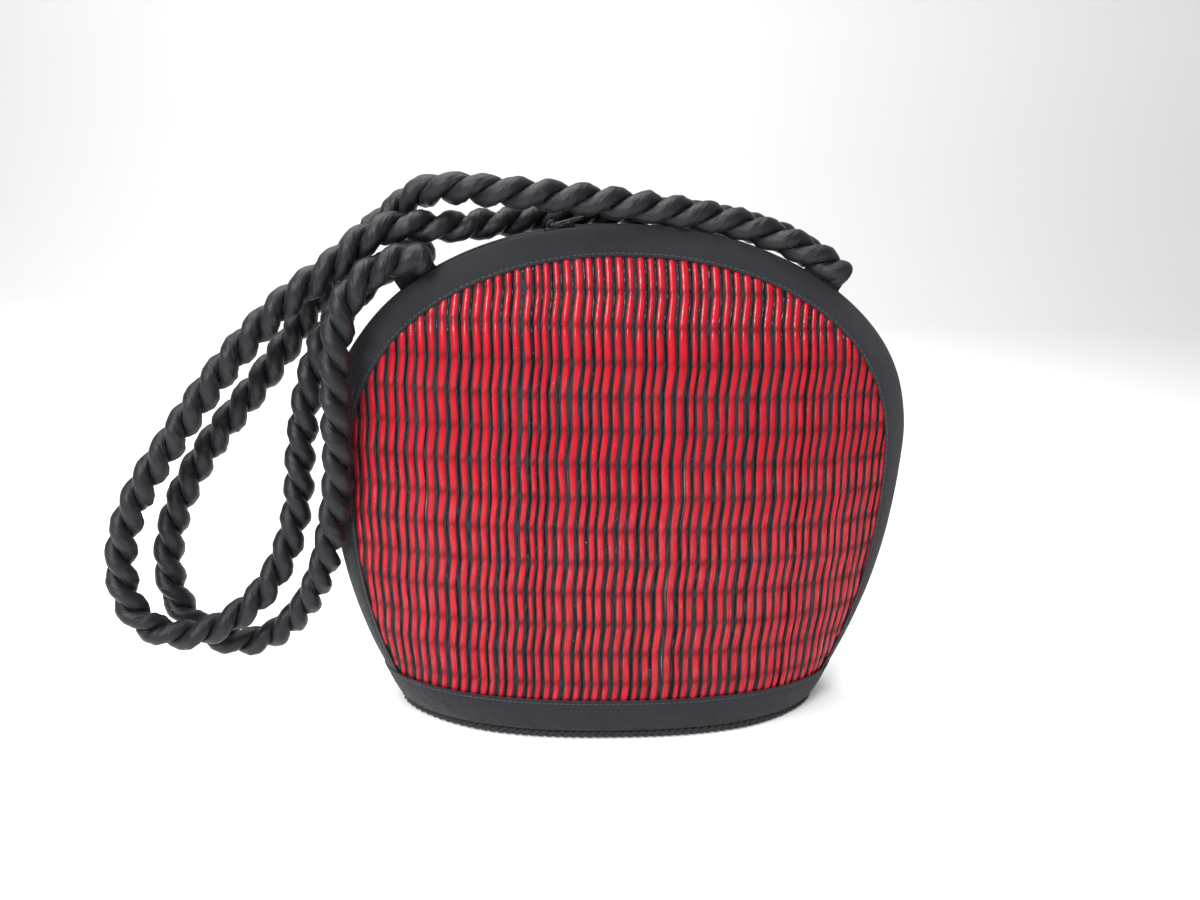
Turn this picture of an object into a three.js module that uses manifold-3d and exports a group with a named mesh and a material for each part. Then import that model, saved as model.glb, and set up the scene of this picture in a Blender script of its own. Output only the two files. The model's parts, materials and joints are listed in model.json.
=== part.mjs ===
// A round-topped purse of two stiff reed mats on an oval base, with cloth bindings, a zip along the
// arch and two twisted rope handles that lie over the top and hang down at the left.
// Millimetres, +Z up, the front towards -Y, the origin at the middle of the underside.

import * as THREE from 'three';
import { mergeVertices } from 'three/addons/utils/BufferGeometryUtils.js';
import Module from 'manifold-3d';

const wasm = await Module();
wasm.setup();

// Driving sizes of the body
const bagWidth = 274;
const bagHeight = 236;
const widestHeight = 135;
const baseWidth = 204;
const baseDepth = 81.5;
const matThickness = 2;
const bindingWall = 1;
const bindingReach = 13;
const bandHeight = 15.5;
const bandWall = 1;
const trimDiameter = 3.4;
const trimProud = 0.9;
const clearance = 0.3;

// Form of the body: powers of the arch, of the sides below the widest height, of the side view and
// of the level sections, which are oval at the base and come to an edge at the top
const archPower = 2.1;
const sidePower = 2.4;
const leanPower = 2;
const leanRound = 0.75;
const sectionPower = 2.4;
const baseRound = 0.54;

// The side seam: how far the bindings lean outwards at its foot and where it starts to open, as
// shares of the binding's half thickness, and the heights between which it opens, of the bag's
const seamLeanLow = 0.55;
const seamLeanHigh = 0.75;
const seamWidensShare = 0.64;
const seamOpenShare = 0.8;

// Zip
const chainWidth = 3.4;
const chainHeight = 2.2;
const chainSink = 0.5;
const tapeThickness = 1;
const tapeDrop = 11;
const tapeSink = 1;
const sliderPlace = -34;
const sliderLength = 14;
const sliderWidth = 5.8;
const sliderPlate = 1;
const sliderPost = 1;
const sliderPostLength = 4;
const bailWidth = 1.8;
const bailWire = 1.1;
const pullLength = 15;
const pullWidth = 6.4;
const pullThickness = 1.2;
const pullBow = 1.6;
const pullHeadWidth = 4.8;
const pullNeckWidth = 5.6;
const eyeSlack = 0.4;
const sliderTailWidth = 4.2;
const sliderNoseWidth = 2.9;
const sliderLift = 0.1;
const bailInset = 1.2;
const hingeClearance = 0.35;

// Handles and their tabs
const ropeDiameter = 14.4;
const tabFromSideRight = 49;
const tabFromSideLeft = 41;
const tabWidth = 19;
const tabThickness = 1.2;
const tabInside = 13;
const tabOutside = 11;
const tabBendLow = -2;
const tabBendHigh = 2.5;

// Middle lines of the two ropes, from the right-hand tab to the left-hand tab
const frontRoute = [
  [96.8, -9.4, 218.6], [88, -9.4, 223.8], [77, -9.1, 229], [64, -6.8, 233.8], [48, -5, 238.6],
  [28, -5.8, 242.2], [5, -8.5, 244.8], [-17, -11.2, 246.8], [-40, -11.7, 248.2], [-60, -9.7, 248.8],
  [-79, -2.5, 249.2], [-94, 5.2, 246.6], [-105.5, 11.5, 238.3], [-115.5, 14, 229.5], [-127, 14.4, 218.8],
  [-139.7, 14, 203.7], [-153.5, 12.4, 181], [-171.5, 10, 156], [-192, 8, 130], [-207.3, 6, 104],
  [-215, 4, 79], [-215, 3, 57], [-207.5, 3, 38.5], [-193.5, 3, 28.5], [-175.5, 2, 28.5], [-158, -1.5, 42],
  [-144, -9.2, 66], [-135.8, -15.2, 94], [-131, -19.8, 125], [-130.6, -21, 156], [-129.9, -20.6, 180],
  [-126.5, -19.6, 198], [-120, -18.2, 208.8], [-110.8, -15.2, 216], [-101, -12.4, 219.6], [-92.5, -10.8, 220],
];
const backRoute = [
  [96.8, 9.4, 218.6], [88, 9.6, 224.6], [77, 10.5, 230.2], [64, 11.2, 234.4], [48, 11.6, 238],
  [30, 11.8, 240.6], [8, 12, 241.4], [-15, 13.2, 240.4], [-34, 15.4, 237.5], [-50, 15.5, 235.3],
  [-66, 11, 233.6], [-82, 4, 232.4], [-95, -2, 232.5], [-106, -4.6, 231.9], [-117.5, -7.2, 227],
  [-132, -9.3, 214.5], [-150, -9.3, 200.5], [-170.3, -9.3, 180.5], [-188.3, -9.3, 158.5],
  [-205.8, -9.3, 134], [-221.5, -9.3, 110], [-230.7, -10, 87], [-232.3, -11.5, 67],
  [-227, -13.5, 50.5], [-215.5, -15, 42], [-201, -15, 40.8], [-186, -13, 46.3], [-172, -9.5, 57.5],
  [-160.5, -5.5, 76], [-153.6, -2, 100], [-151, 0, 128], [-147, 1.5, 154], [-142.5, 2, 170],
  [-136.2, 3.2, 185.3], [-127, 5, 198.2], [-117, 8.5, 208.5], [-105, 10.3, 217], [-92.5, 9.7, 220.6],
];

// What the driving sizes give
const wrap = clearance + bindingWall;
const bindingInside = matThickness / 2 + clearance;
const bindingOutside = bindingInside + bindingWall;
const bandInside = bindingOutside + clearance;
const bandOutside = bandInside + bandWall;
const trimWay = bandOutside + trimProud - trimDiameter / 2;
const plateWay = trimWay - trimDiameter / 2 - clearance;
const tabRight = bagWidth / 2 - tabFromSideRight;
const tabLeft = bagWidth / 2 - tabFromSideLeft;
const matHalfWidth = bagWidth / 2 - wrap;
const matTop = bagHeight - wrap;
const plateThickness = trimDiameter + clearance;
const matBottom = plateThickness + clearance;
const baseHalfWidth = baseWidth / 2 - wrap;
const bandTop = matBottom + bandHeight;
const zipHalfGap = chainWidth / 2 + clearance + tapeThickness + clearance;
const seamLow = clearance / 2 + seamLeanLow * bindingOutside;
const seamHigh = clearance / 2 + seamLeanHigh * bindingOutside;
const seamZip = zipHalfGap + bindingOutside;
const seamWidens = seamWidensShare * bagHeight;
const seamOpen = seamOpenShare * bagHeight;

// Materials
const colours = {
  reed: { color: 0xa3141f, roughness: 0.42 },
  cloth: { color: 0x1b1c20, roughness: 0.86 },
  satin: { color: 0x17181c, roughness: 0.48 },
  tape: { color: 0x141417, roughness: 0.9 },
  teeth: { color: 0x1d1d20, roughness: 0.5 },
  metal: { color: 0x2b2b2e, roughness: 0.35, metalness: 0.8 },
};

function material(name) {
  return new THREE.MeshStandardMaterial(colours[name]);
}

function mix(from, to, share) {
  return from + (to - from) * share;
}

// Half width of a mat at a height
function halfWidth(z) {
  if (z >= widestHeight) {
    const rise = Math.min((z - widestHeight) / (matTop - widestHeight), 1);
    return matHalfWidth * (1 - rise ** archPower) ** (1 / archPower);
  }
  const drop = (widestHeight - z) / widestHeight;
  return matHalfWidth - (matHalfWidth - baseHalfWidth) * drop ** sidePower;
}

// Distance of a mat's edge from the middle plane: sewn together low down, apart at the zip
function edgeOffset(z) {
  const low = mix(seamLow, seamHigh, Math.min(z / seamWidens, 1));
  return low + (seamZip - seamHigh) * THREE.MathUtils.smoothstep(z, seamWidens, seamOpen);
}

// Distance of a mat's middle surface from the middle plane
function matDepth(x, z) {
  const rise = Math.min(z / matTop, 1);
  const across = Math.min(Math.abs(x) / Math.max(halfWidth(z), 1e-6), 1);
  const bulge = (baseDepth / 2 - seamLow) * (1 - rise ** leanPower) ** leanRound;
  return edgeOffset(z) + bulge * (1 - across ** sectionPower) ** mix(baseRound, 1, rise);
}

// A point of a mat's middle surface with its outward normal, from slopes just inside its edge; side
// is -1 in front and 1 behind
function matPoint(x, z, side) {
  const step = 1;
  const slightlyIn = 0.98;
  const xIn = Math.abs(x) > step ? x - Math.sign(x) * step : x - step;
  const zIn = Math.max(Math.min(z, matTop - 2 * step) - step, 0);
  const depth = matDepth(x, z);
  const slopeX = (depth - matDepth(xIn, z)) / (x - xIn);
  const slopeZ = (matDepth(x * slightlyIn, zIn + step) - matDepth(x * slightlyIn, zIn)) / step;
  const normal = new THREE.Vector3(-slopeX, side, -slopeZ).normalize();
  return { point: new THREE.Vector3(x, side * depth, z), normal };
}

// Stations round a mat's edge in the front view, from the foot at the right to the foot at the left
function rimStations() {
  const sideSteps = 7;
  const archSteps = 32;
  const right = [];
  for (let i = 0; i < sideSteps; i += 1) {
    const z = i === 0 ? matBottom : mix(bandTop, widestHeight, (i - 1) / (sideSteps - 1));
    right.push({ x: halfWidth(z), z });
  }
  for (let i = 0; i <= archSteps / 2; i += 1) {
    const angle = (i / archSteps) * Math.PI;
    const x = matHalfWidth * Math.max(Math.cos(angle), 0) ** (2 / archPower);
    const z = widestHeight + (matTop - widestHeight) * Math.sin(angle) ** (2 / archPower);
    right.push({ x: i === archSteps / 2 ? 0 : x, z });
  }
  const left = right.slice(0, -1).reverse().map((p) => ({ x: -p.x, z: p.z }));
  const rim = [...right, ...left];
  return rim.map((p, i) => {
    const before = rim[Math.max(i - 1, 0)];
    const after = rim[Math.min(i + 1, rim.length - 1)];
    const foot = i === 0 || i === rim.length - 1;
    const length = Math.hypot(after.x - before.x, after.z - before.z);
    const inX = foot ? -Math.sign(p.x) : -(after.z - before.z) / length;
    const inZ = foot ? 0 : (after.x - before.x) / length;
    return { ...p, inX, inZ };
  });
}

// The point that lies a given way in from a station, measured along the mat
function inward(station, reach, side) {
  const step = 0.25;
  let travelled = 0;
  let here = matPoint(station.x, station.z, side);
  for (let way = step; travelled < reach; way += step) {
    const next = matPoint(station.x + station.inX * way, station.z + station.inZ * way, side);
    travelled += next.point.distanceTo(here.point);
    here = next;
  }
  return here;
}

// One closed body from points and triangles, turned so that its faces point outwards
function solid(points, faces) {
  let volume = 0;
  for (const [a, b, c] of faces) {
    volume += points[a].dot(new THREE.Vector3().crossVectors(points[b], points[c]));
  }
  const turned = volume < 0 ? faces.map(([a, b, c]) => [a, c, b]) : faces;
  const geometry = new THREE.BufferGeometry().setFromPoints(points);
  geometry.setIndex(turned.flat());
  geometry.computeVertexNormals();
  return geometry;
}

// A body through sections with the same number of points, closed to a ring or capped at its ends
function loft(sections, ring) {
  const size = sections[0].length;
  const points = sections.flat();
  const faces = [];
  const spans = ring ? sections.length : sections.length - 1;
  for (let s = 0; s < spans; s += 1) {
    const next = (s + 1) % sections.length;
    for (let i = 0; i < size; i += 1) {
      const j = (i + 1) % size;
      const [a, b, c, d] = [s * size + i, s * size + j, next * size + j, next * size + i];
      faces.push([a, b, c], [a, c, d]);
    }
  }
  if (!ring) {
    const last = (sections.length - 1) * size;
    for (const [a, b, c] of capFaces(sections[0])) faces.push([c, b, a]);
    for (const [a, b, c] of capFaces(sections.at(-1))) faces.push([last + a, last + b, last + c]);
  }
  return solid(points, faces);
}

// Triangles of a nearly flat end section, found in its own plane
function capFaces(section) {
  const normal = new THREE.Vector3();
  section.forEach((p, i) => {
    const q = section[(i + 1) % section.length];
    normal.x += (p.y - q.y) * (p.z + q.z);
    normal.y += (p.z - q.z) * (p.x + q.x);
    normal.z += (p.x - q.x) * (p.y + q.y);
  });
  normal.normalize();
  const across = new THREE.Vector3().subVectors(section[1], section[0]).normalize();
  const up = new THREE.Vector3().crossVectors(normal, across);
  const flat = section.map((p) => new THREE.Vector2(p.dot(across), p.dot(up)));
  return THREE.ShapeUtils.triangulateShape(flat, []);
}

// A point a given way off a surface: straight off it, or level with the foot where the mat is cut
function offset({ point, normal }, way) {
  if (point.z > matBottom) return point.clone().addScaledVector(normal, way);
  return levelOffset({ point, normal }, way);
}

function levelOffset({ point, normal }, way) {
  const level = new THREE.Vector3(normal.x, normal.y, 0);
  return point.clone().addScaledVector(level, way / level.lengthSq());
}

// A mat: rows fan out from the middle of its foot, with three rings under the binding and more at
// shares of the way from the foot to the binding
function panel(side) {
  const fan = [0.82, 0.64, 0.46, 0.28];
  const rows = rimStations().map((station) => {
    const rings = [0, bindingReach / 2, bindingReach].map((reach) => inward(station, reach, side));
    const inner = rings.at(-1).point;
    for (const share of fan) {
      rings.push(matPoint(inner.x * share, mix(matBottom, inner.z, share), side));
    }
    return rings;
  });
  const foot = matPoint(0, matBottom, side);
  const ringCount = rows[0].length;
  const half = rows.length * ringCount + 1;
  const points = [];
  for (const way of [matThickness / 2, -matThickness / 2]) {
    for (const row of rows) points.push(...row.map((p) => offset(p, way)));
    points.push(offset(foot, way));
  }
  const faces = [];
  const quad = (a, b, c, d) => faces.push([a, b, c], [a, c, d]);
  for (let r = 0; r < rows.length - 1; r += 1) {
    for (let i = 0; i < ringCount - 1; i += 1) {
      const a = r * ringCount + i;
      const b = a + ringCount;
      quad(a, b, b + 1, a + 1);
      quad(half + a + 1, half + b + 1, half + b, half + a);
    }
    const tip = r * ringCount + ringCount - 1;
    faces.push([tip, tip + ringCount, half - 1]);
    faces.push([half + half - 1, half + tip + ringCount, half + tip]);
    const edge = r * ringCount;
    quad(edge + ringCount, edge, half + edge, half + edge + ringCount);
  }
  for (let i = 0; i < ringCount; i += 1) {
    const first = i;
    const firstNext = i === ringCount - 1 ? half - 1 : i + 1;
    const last = (rows.length - 1) * ringCount + i;
    const lastNext = i === ringCount - 1 ? half - 1 : last + 1;
    quad(first, firstNext, half + firstNext, half + first);
    quad(lastNext, last, half + last, half + lastNext);
  }
  return solid(points, faces);
}

// A folded cloth binding round a mat's edge, as a channel swept from foot to foot
function binding(side) {
  const sections = rimStations().map((station) => {
    const [edge, middle, inner] = [0, bindingReach / 2, bindingReach].map((reach) => (
      inward(station, reach, side)));
    const out = new THREE.Vector3().subVectors(edge.point, middle.point).normalize();
    const past = (way, across) => offset(edge, across).addScaledVector(out, way);
    const round = Math.SQRT1_2;
    return [
      offset(inner, bindingOutside), offset(middle, bindingOutside), offset(edge, bindingOutside),
      past(wrap * round, bindingOutside * round), past(wrap, 0),
      past(wrap * round, -bindingOutside * round),
      offset(edge, -bindingOutside), offset(middle, -bindingOutside), offset(inner, -bindingOutside),
      offset(inner, -bindingInside), offset(middle, -bindingInside),
      past(clearance, -bindingInside), past(clearance, bindingInside),
      offset(middle, bindingInside), offset(inner, bindingInside),
    ];
  });
  return loft(sections, false);
}

// The closed oval round the foot of the mats at a height, a given way outside their middle surface
function footOval(z, way) {
  const steps = 36;
  const front = [];
  for (let i = 0; i <= steps; i += 1) {
    const x = halfWidth(z) * Math.sin(((i / steps) - 0.5) * Math.PI);
    front.push(levelOffset(matPoint(x, z, -1), way));
  }
  const back = front.map((p) => new THREE.Vector3(p.x, -p.y, z)).reverse();
  return [...front, ...back];
}

function baseBand() {
  const rings = [
    footOval(matBottom, bandOutside), footOval(bandTop, bandOutside),
    footOval(bandTop, bandInside), footOval(matBottom, bandInside),
  ];
  return loft(rings[0].map((_, i) => rings.map((ring) => ring[i])), true);
}

function basePlate() {
  const outline = footOval(matBottom, plateWay).map((p) => new THREE.Vector2(p.x, p.y));
  const settings = { depth: plateThickness, bevelEnabled: false, steps: 1 };
  return new THREE.ExtrudeGeometry(new THREE.Shape(outline), settings);
}

// The twisted trim under the band and round the plate, as a plain ring
function baseTrim() {
  const sides = 6;
  const radius = trimDiameter / 2;
  const middle = footOval(matBottom, trimWay);
  const sections = middle.map((p, i) => {
    const before = middle.at(i - 1);
    const after = middle[(i + 1) % middle.length];
    const out = new THREE.Vector3(after.y - before.y, before.x - after.x, 0).normalize();
    const section = [];
    for (let s = 0; s < sides; s += 1) {
      const angle = (s / sides) * 2 * Math.PI;
      const centre = new THREE.Vector3(p.x, p.y, plateThickness / 2);
      centre.addScaledVector(out, radius * Math.cos(angle));
      centre.z += radius * Math.sin(angle);
      section.push(centre);
    }
    return section;
  });
  return loft(sections, true);
}

// A place on the arch in the front view, with its outward and rightward directions
function archPlace(x) {
  const outerWidth = bagWidth / 2;
  const slope = (Math.abs(x) / outerWidth) ** archPower;
  const rise = (1 - slope) ** (1 / archPower);
  const z = widestHeight + (bagHeight - widestHeight) * rise;
  const outX = Math.sign(x) * (Math.abs(x) / outerWidth) ** (archPower - 1) / outerWidth;
  const outZ = rise ** (archPower - 1) / (bagHeight - widestHeight);
  const length = Math.hypot(outX, outZ);
  const out = new THREE.Vector3(outX / length, 0, outZ / length);
  const right = new THREE.Vector3(out.z, 0, -out.x);
  return { edge: new THREE.Vector3(x, 0, z), out, right };
}

// A strip that follows the arch between the handle tabs, from y0 to y1 and low to high off the edge
function archStrip(y0, y1, low, high) {
  const steps = 24;
  const right = tabRight - tabWidth / 2;
  const left = tabLeft - tabWidth / 2;
  const sections = [];
  for (let i = 0; i <= steps; i += 1) {
    const { edge, out } = archPlace(mix(right, -left, i / steps));
    const corner = (y, way) => edge.clone().addScaledVector(out, way).setY(y);
    sections.push([corner(y0, low), corner(y1, low), corner(y1, high), corner(y0, high)]);
  }
  return loft(sections, false);
}

function zipTape(side) {
  const inside = chainWidth / 2 + clearance;
  return archStrip(side * inside, side * (inside + tapeThickness), -tapeSink - tapeDrop, -tapeSink);
}

function manifold(geometry) {
  const bare = geometry.clone();
  bare.deleteAttribute('normal');
  bare.deleteAttribute('uv');
  const merged = mergeVertices(bare.index ? bare.toNonIndexed() : bare, 1e-4);
  return new wasm.Manifold(new wasm.Mesh({
    numProp: 3,
    vertProperties: new Float32Array(merged.attributes.position.array),
    triVerts: new Uint32Array(merged.index.array),
  }));
}

function geometryOf(body) {
  const mesh = body.getMesh();
  const geometry = new THREE.BufferGeometry();
  geometry.setAttribute('position', new THREE.BufferAttribute(mesh.vertProperties, 3));
  geometry.setIndex(new THREE.BufferAttribute(mesh.triVerts, 1));
  geometry.computeVertexNormals();
  return geometry;
}

// A box between two corners, as a geometry
function box(from, to) {
  const size = to.map((v, i) => v - from[i]);
  const geometry = new THREE.BoxGeometry(...size);
  return geometry.translate(...from.map((v, i) => v + size[i] / 2));
}

// The frame of the slider: its x runs along the chain and its z out of the arch
function sliderFrame() {
  const { edge, out, right } = archPlace(sliderPlace);
  return new THREE.Matrix4().makeBasis(right, new THREE.Vector3(0, 1, 0), out).setPosition(edge);
}

const postFrom = -sliderLength / 2 + bailWire;
const plateLow = -chainSink + clearance + sliderLift;
const plateHigh = plateLow + sliderPlate;
const pinRadius = Math.hypot(pullThickness, pullThickness) / 2;
const bailInner = pinRadius + hingeClearance;
const bailOuter = bailInner + bailWire;
const hingeX = -sliderLength / 2 + bailInset + bailOuter;
const hingeZ = plateHigh + bailInner;

// The closed row of teeth, parted where the slider's post goes through it
function zipChain() {
  const strip = archStrip(-chainWidth / 2, chainWidth / 2, -chainSink - chainHeight, -chainSink);
  const slot = box(
    [postFrom - clearance, -sliderPost / 2 - clearance, -3 * chainHeight],
    [postFrom + sliderPostLength + clearance, sliderPost / 2 + clearance, chainHeight],
  );
  slot.applyMatrix4(sliderFrame());
  return geometryOf(manifold(strip).subtract(manifold(slot)));
}

// The slider: a plate over the chain, a post through it, a narrow plate under it and the bail
function zipSlider() {
  const half = sliderLength / 2;
  const nose = sliderNoseWidth / 2;
  const side = sliderWidth / 2;
  const tail = sliderTailWidth / 2;
  const plan = new THREE.Shape([
    new THREE.Vector2(-half, -nose), new THREE.Vector2(nose - half, -side), new THREE.Vector2(0, -side),
    new THREE.Vector2(half, -tail), new THREE.Vector2(half, tail),
    new THREE.Vector2(0, side), new THREE.Vector2(nose - half, side), new THREE.Vector2(-half, nose),
  ]);
  const top = new THREE.ExtrudeGeometry(plan, { depth: sliderPlate, bevelEnabled: false });
  top.translate(0, 0, plateLow);
  const underHigh = -chainSink - chainHeight - clearance;
  const under = box([-half, -chainWidth / 2, underHigh - sliderPlate], [half, chainWidth / 2, underHigh]);
  const post = box(
    [postFrom, -sliderPost / 2, underHigh - sliderPlate / 2],
    [postFrom + sliderPostLength, sliderPost / 2, plateLow + sliderPlate / 2],
  );
  const arch = new THREE.Shape();
  arch.absarc(0, 0, bailOuter, 0, Math.PI, false);
  arch.lineTo(-bailOuter, -bailInner - sliderPlate / 2);
  arch.lineTo(-bailInner, -bailInner - sliderPlate / 2);
  arch.absarc(0, 0, bailInner, Math.PI, 0, true);
  arch.lineTo(bailInner, -bailInner - sliderPlate / 2);
  arch.lineTo(bailOuter, -bailInner - sliderPlate / 2);
  const bail = new THREE.ExtrudeGeometry(arch, { depth: bailWidth, bevelEnabled: false, curveSegments: 8 });
  bail.translate(0, 0, -bailWidth / 2).rotateX(Math.PI / 2).translate(hingeX, 0, hingeZ);
  const body = manifold(top).add(manifold(under)).add(manifold(post)).add(manifold(bail));
  return geometryOf(body).applyMatrix4(sliderFrame());
}

// The pull: a bowed leaf with an eye round the bail, its cross-bar on the hinge line
function zipPull() {
  const bar = pullThickness / 2;
  const eyeHalf = bailWidth / 2 + hingeClearance;
  const eyeEnd = bailOuter + hingeClearance + eyeSlack;
  const half = pullWidth / 2;
  const plan = new THREE.Shape();
  plan.moveTo(-bar, -pullHeadWidth / 2);
  plan.lineTo(eyeEnd, -pullNeckWidth / 2);
  plan.lineTo(pullLength - half, -half);
  plan.absarc(pullLength - half, 0, half, -Math.PI / 2, Math.PI / 2, false);
  plan.lineTo(eyeEnd, pullNeckWidth / 2);
  plan.lineTo(-bar, pullHeadWidth / 2);
  const eye = new THREE.Path([
    new THREE.Vector2(bar, -eyeHalf), new THREE.Vector2(bar, eyeHalf),
    new THREE.Vector2(eyeEnd, eyeHalf), new THREE.Vector2(eyeEnd, -eyeHalf),
  ]);
  plan.holes.push(eye);
  const leaf = new THREE.ExtrudeGeometry(plan, {
    depth: pullThickness, bevelEnabled: false, curveSegments: 6,
  });
  leaf.translate(0, 0, -pullThickness / 2);
  const bowTurn = 0.6 * Math.PI;
  const corners = leaf.attributes.position;
  for (let i = 0; i < corners.count; i += 1) {
    const along = Math.max(corners.getX(i) - eyeEnd, 0) / (pullLength - eyeEnd);
    corners.setZ(i, corners.getZ(i) + pullBow * Math.sin(along * bowTurn));
  }
  return leaf.translate(hingeX, 0, hingeZ).applyMatrix4(sliderFrame());
}

// A flat cloth tab: between the mats below the edge, then up behind the end of its rope
function handleTab(place, side) {
  const beside = zipHalfGap - clearance - tabThickness / 2;
  const together = 1.5 * clearance + tabThickness / 2;
  const levels = [
    { way: -tabInside, y: beside }, { way: tabBendLow, y: beside },
    { way: tabBendHigh, y: together }, { way: tabOutside, y: together },
  ];
  const { edge, out, right } = archPlace(place);
  const sections = levels.map(({ way, y }) => [[-1, -1], [1, -1], [1, 1], [-1, 1]].map(([u, v]) => (
    edge.clone().addScaledVector(out, way).addScaledVector(right, u * tabWidth / 2)
      .setY(side * (y + v * tabThickness / 2)))));
  return loft(sections, false);
}

// A rope handle, as a plain tube of its outer diameter
function rope(route) {
  const sides = 10;
  const corners = [];
  for (let i = 0; i < sides; i += 1) {
    const angle = (i / sides) * 2 * Math.PI;
    corners.push(new THREE.Vector2(Math.cos(angle), Math.sin(angle)).multiplyScalar(ropeDiameter / 2));
  }
  const path = new THREE.CatmullRomCurve3(route.map((p) => new THREE.Vector3(...p)), false, 'centripetal');
  return new THREE.ExtrudeGeometry(new THREE.Shape(corners), { steps: 42, extrudePath: path });
}

const purse = new THREE.Group();

function place(name, geometry, finish) {
  const mesh = new THREE.Mesh(geometry, material(finish));
  mesh.name = name;
  purse.add(mesh);
}

for (const [name, side] of [['front', -1], ['back', 1]]) {
  place(`${name}_panel`, panel(side), 'reed');
  place(`${name}_binding`, binding(side), 'cloth');
  place(`zip_tape_${name}`, zipTape(side), 'tape');
  place(`tab_${name}_right`, handleTab(tabRight, side), 'cloth');
  place(`tab_${name}_left`, handleTab(-tabLeft, side), 'cloth');
}
place('base_plate', basePlate(), 'cloth');
place('base_band', baseBand(), 'cloth');
place('base_trim', baseTrim(), 'cloth');
place('zip_chain', zipChain(), 'teeth');
place('zip_slider', zipSlider(), 'metal');
place('zip_pull', zipPull(), 'metal');
place('handle_front', rope(frontRoute), 'satin');
place('handle_back', rope(backRoute), 'satin');

export default purse;
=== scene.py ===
"""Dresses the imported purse: real reeds, stitched cloth edges, a toothed zip and twisted satin ropes.

Metres, +Z up, the front towards -Y, as in the frame.
"""

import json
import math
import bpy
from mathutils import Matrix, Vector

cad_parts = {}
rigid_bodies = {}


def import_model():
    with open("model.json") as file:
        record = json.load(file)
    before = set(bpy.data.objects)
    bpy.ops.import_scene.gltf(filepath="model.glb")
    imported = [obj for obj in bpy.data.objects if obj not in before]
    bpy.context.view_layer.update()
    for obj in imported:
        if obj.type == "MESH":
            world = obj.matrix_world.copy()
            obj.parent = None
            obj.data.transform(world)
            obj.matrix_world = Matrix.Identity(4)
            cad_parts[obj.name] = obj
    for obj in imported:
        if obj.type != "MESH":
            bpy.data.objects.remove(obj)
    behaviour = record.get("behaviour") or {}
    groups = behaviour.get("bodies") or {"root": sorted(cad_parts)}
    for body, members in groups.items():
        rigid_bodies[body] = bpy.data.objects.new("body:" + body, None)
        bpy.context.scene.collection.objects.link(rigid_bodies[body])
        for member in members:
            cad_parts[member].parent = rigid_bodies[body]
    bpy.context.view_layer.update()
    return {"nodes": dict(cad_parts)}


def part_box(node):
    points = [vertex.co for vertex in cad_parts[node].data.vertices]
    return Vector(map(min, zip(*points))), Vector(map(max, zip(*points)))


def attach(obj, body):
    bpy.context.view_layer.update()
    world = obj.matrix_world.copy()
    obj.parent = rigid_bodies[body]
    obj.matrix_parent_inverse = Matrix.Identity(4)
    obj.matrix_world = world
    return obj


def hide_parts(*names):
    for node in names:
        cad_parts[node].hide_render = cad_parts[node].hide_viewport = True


bl_info = {
    "name": "Reed Purse",
    "version": (1, 0, 0),
    "blender": (4, 5, 0),
    "location": "View3D > Sidebar > Purse",
    "description": "Builds the looks of a reed purse round its packed model",
    "category": "Object",
}

import bmesh
import bpy
import numpy as np
from bpy.props import FloatProperty, FloatVectorProperty, PointerProperty
from mathutils import Matrix, Vector

for leftover in list(bpy.data.objects):
    bpy.data.objects.remove(leftover)
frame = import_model()
BAND_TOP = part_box("base_band")[1].z
MAT_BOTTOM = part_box("front_panel")[0].z
PLATE_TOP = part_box("base_plate")[1].z
PHOTO_WIDTH = 1200
SEED = 11
# Both walls, with the side of the middle plane on which each lies
WALLS = (("front", -1), ("back", 1))
# Along a rope's line: how far its rings are apart, and how far from its first end it droops
ROPE_SPACING = 0.0009
DROOP_REACH = 0.040

# Middle lines of the ropes, from the right-hand tab to the left-hand tab, in millimetres
FRONT_ROUTE = (
    (96.8, -9.4, 218.6), (88, -9.4, 223.8), (77, -9.1, 229), (64, -6.8, 233.8), (48, -5, 238.6),
    (28, -5.8, 242.2), (5, -8.5, 244.8), (-17, -11.2, 246.8), (-40, -11.7, 248.2), (-60, -9.7, 248.8),
    (-79, -2.5, 249.2), (-94, 5.2, 246.6), (-105.5, 11.5, 238.3), (-115.5, 14, 229.5), (-127, 14.4, 218.8),
    (-139.7, 14, 203.7), (-153.5, 12.4, 181), (-171.5, 10, 156), (-192, 8, 130), (-207.3, 6, 104),
    (-215, 4, 79), (-215, 3, 57), (-207.5, 3, 38.5), (-193.5, 3, 28.5), (-175.5, 2, 28.5),
    (-158, -1.5, 42), (-144, -9.2, 66), (-135.8, -15.2, 94), (-131, -19.8, 125), (-130.6, -21, 156),
    (-129.9, -20.6, 180), (-126.5, -19.6, 198), (-120, -18.2, 208.8), (-110.8, -15.2, 216),
    (-101, -12.4, 219.6), (-92.5, -10.8, 220),
)
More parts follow.
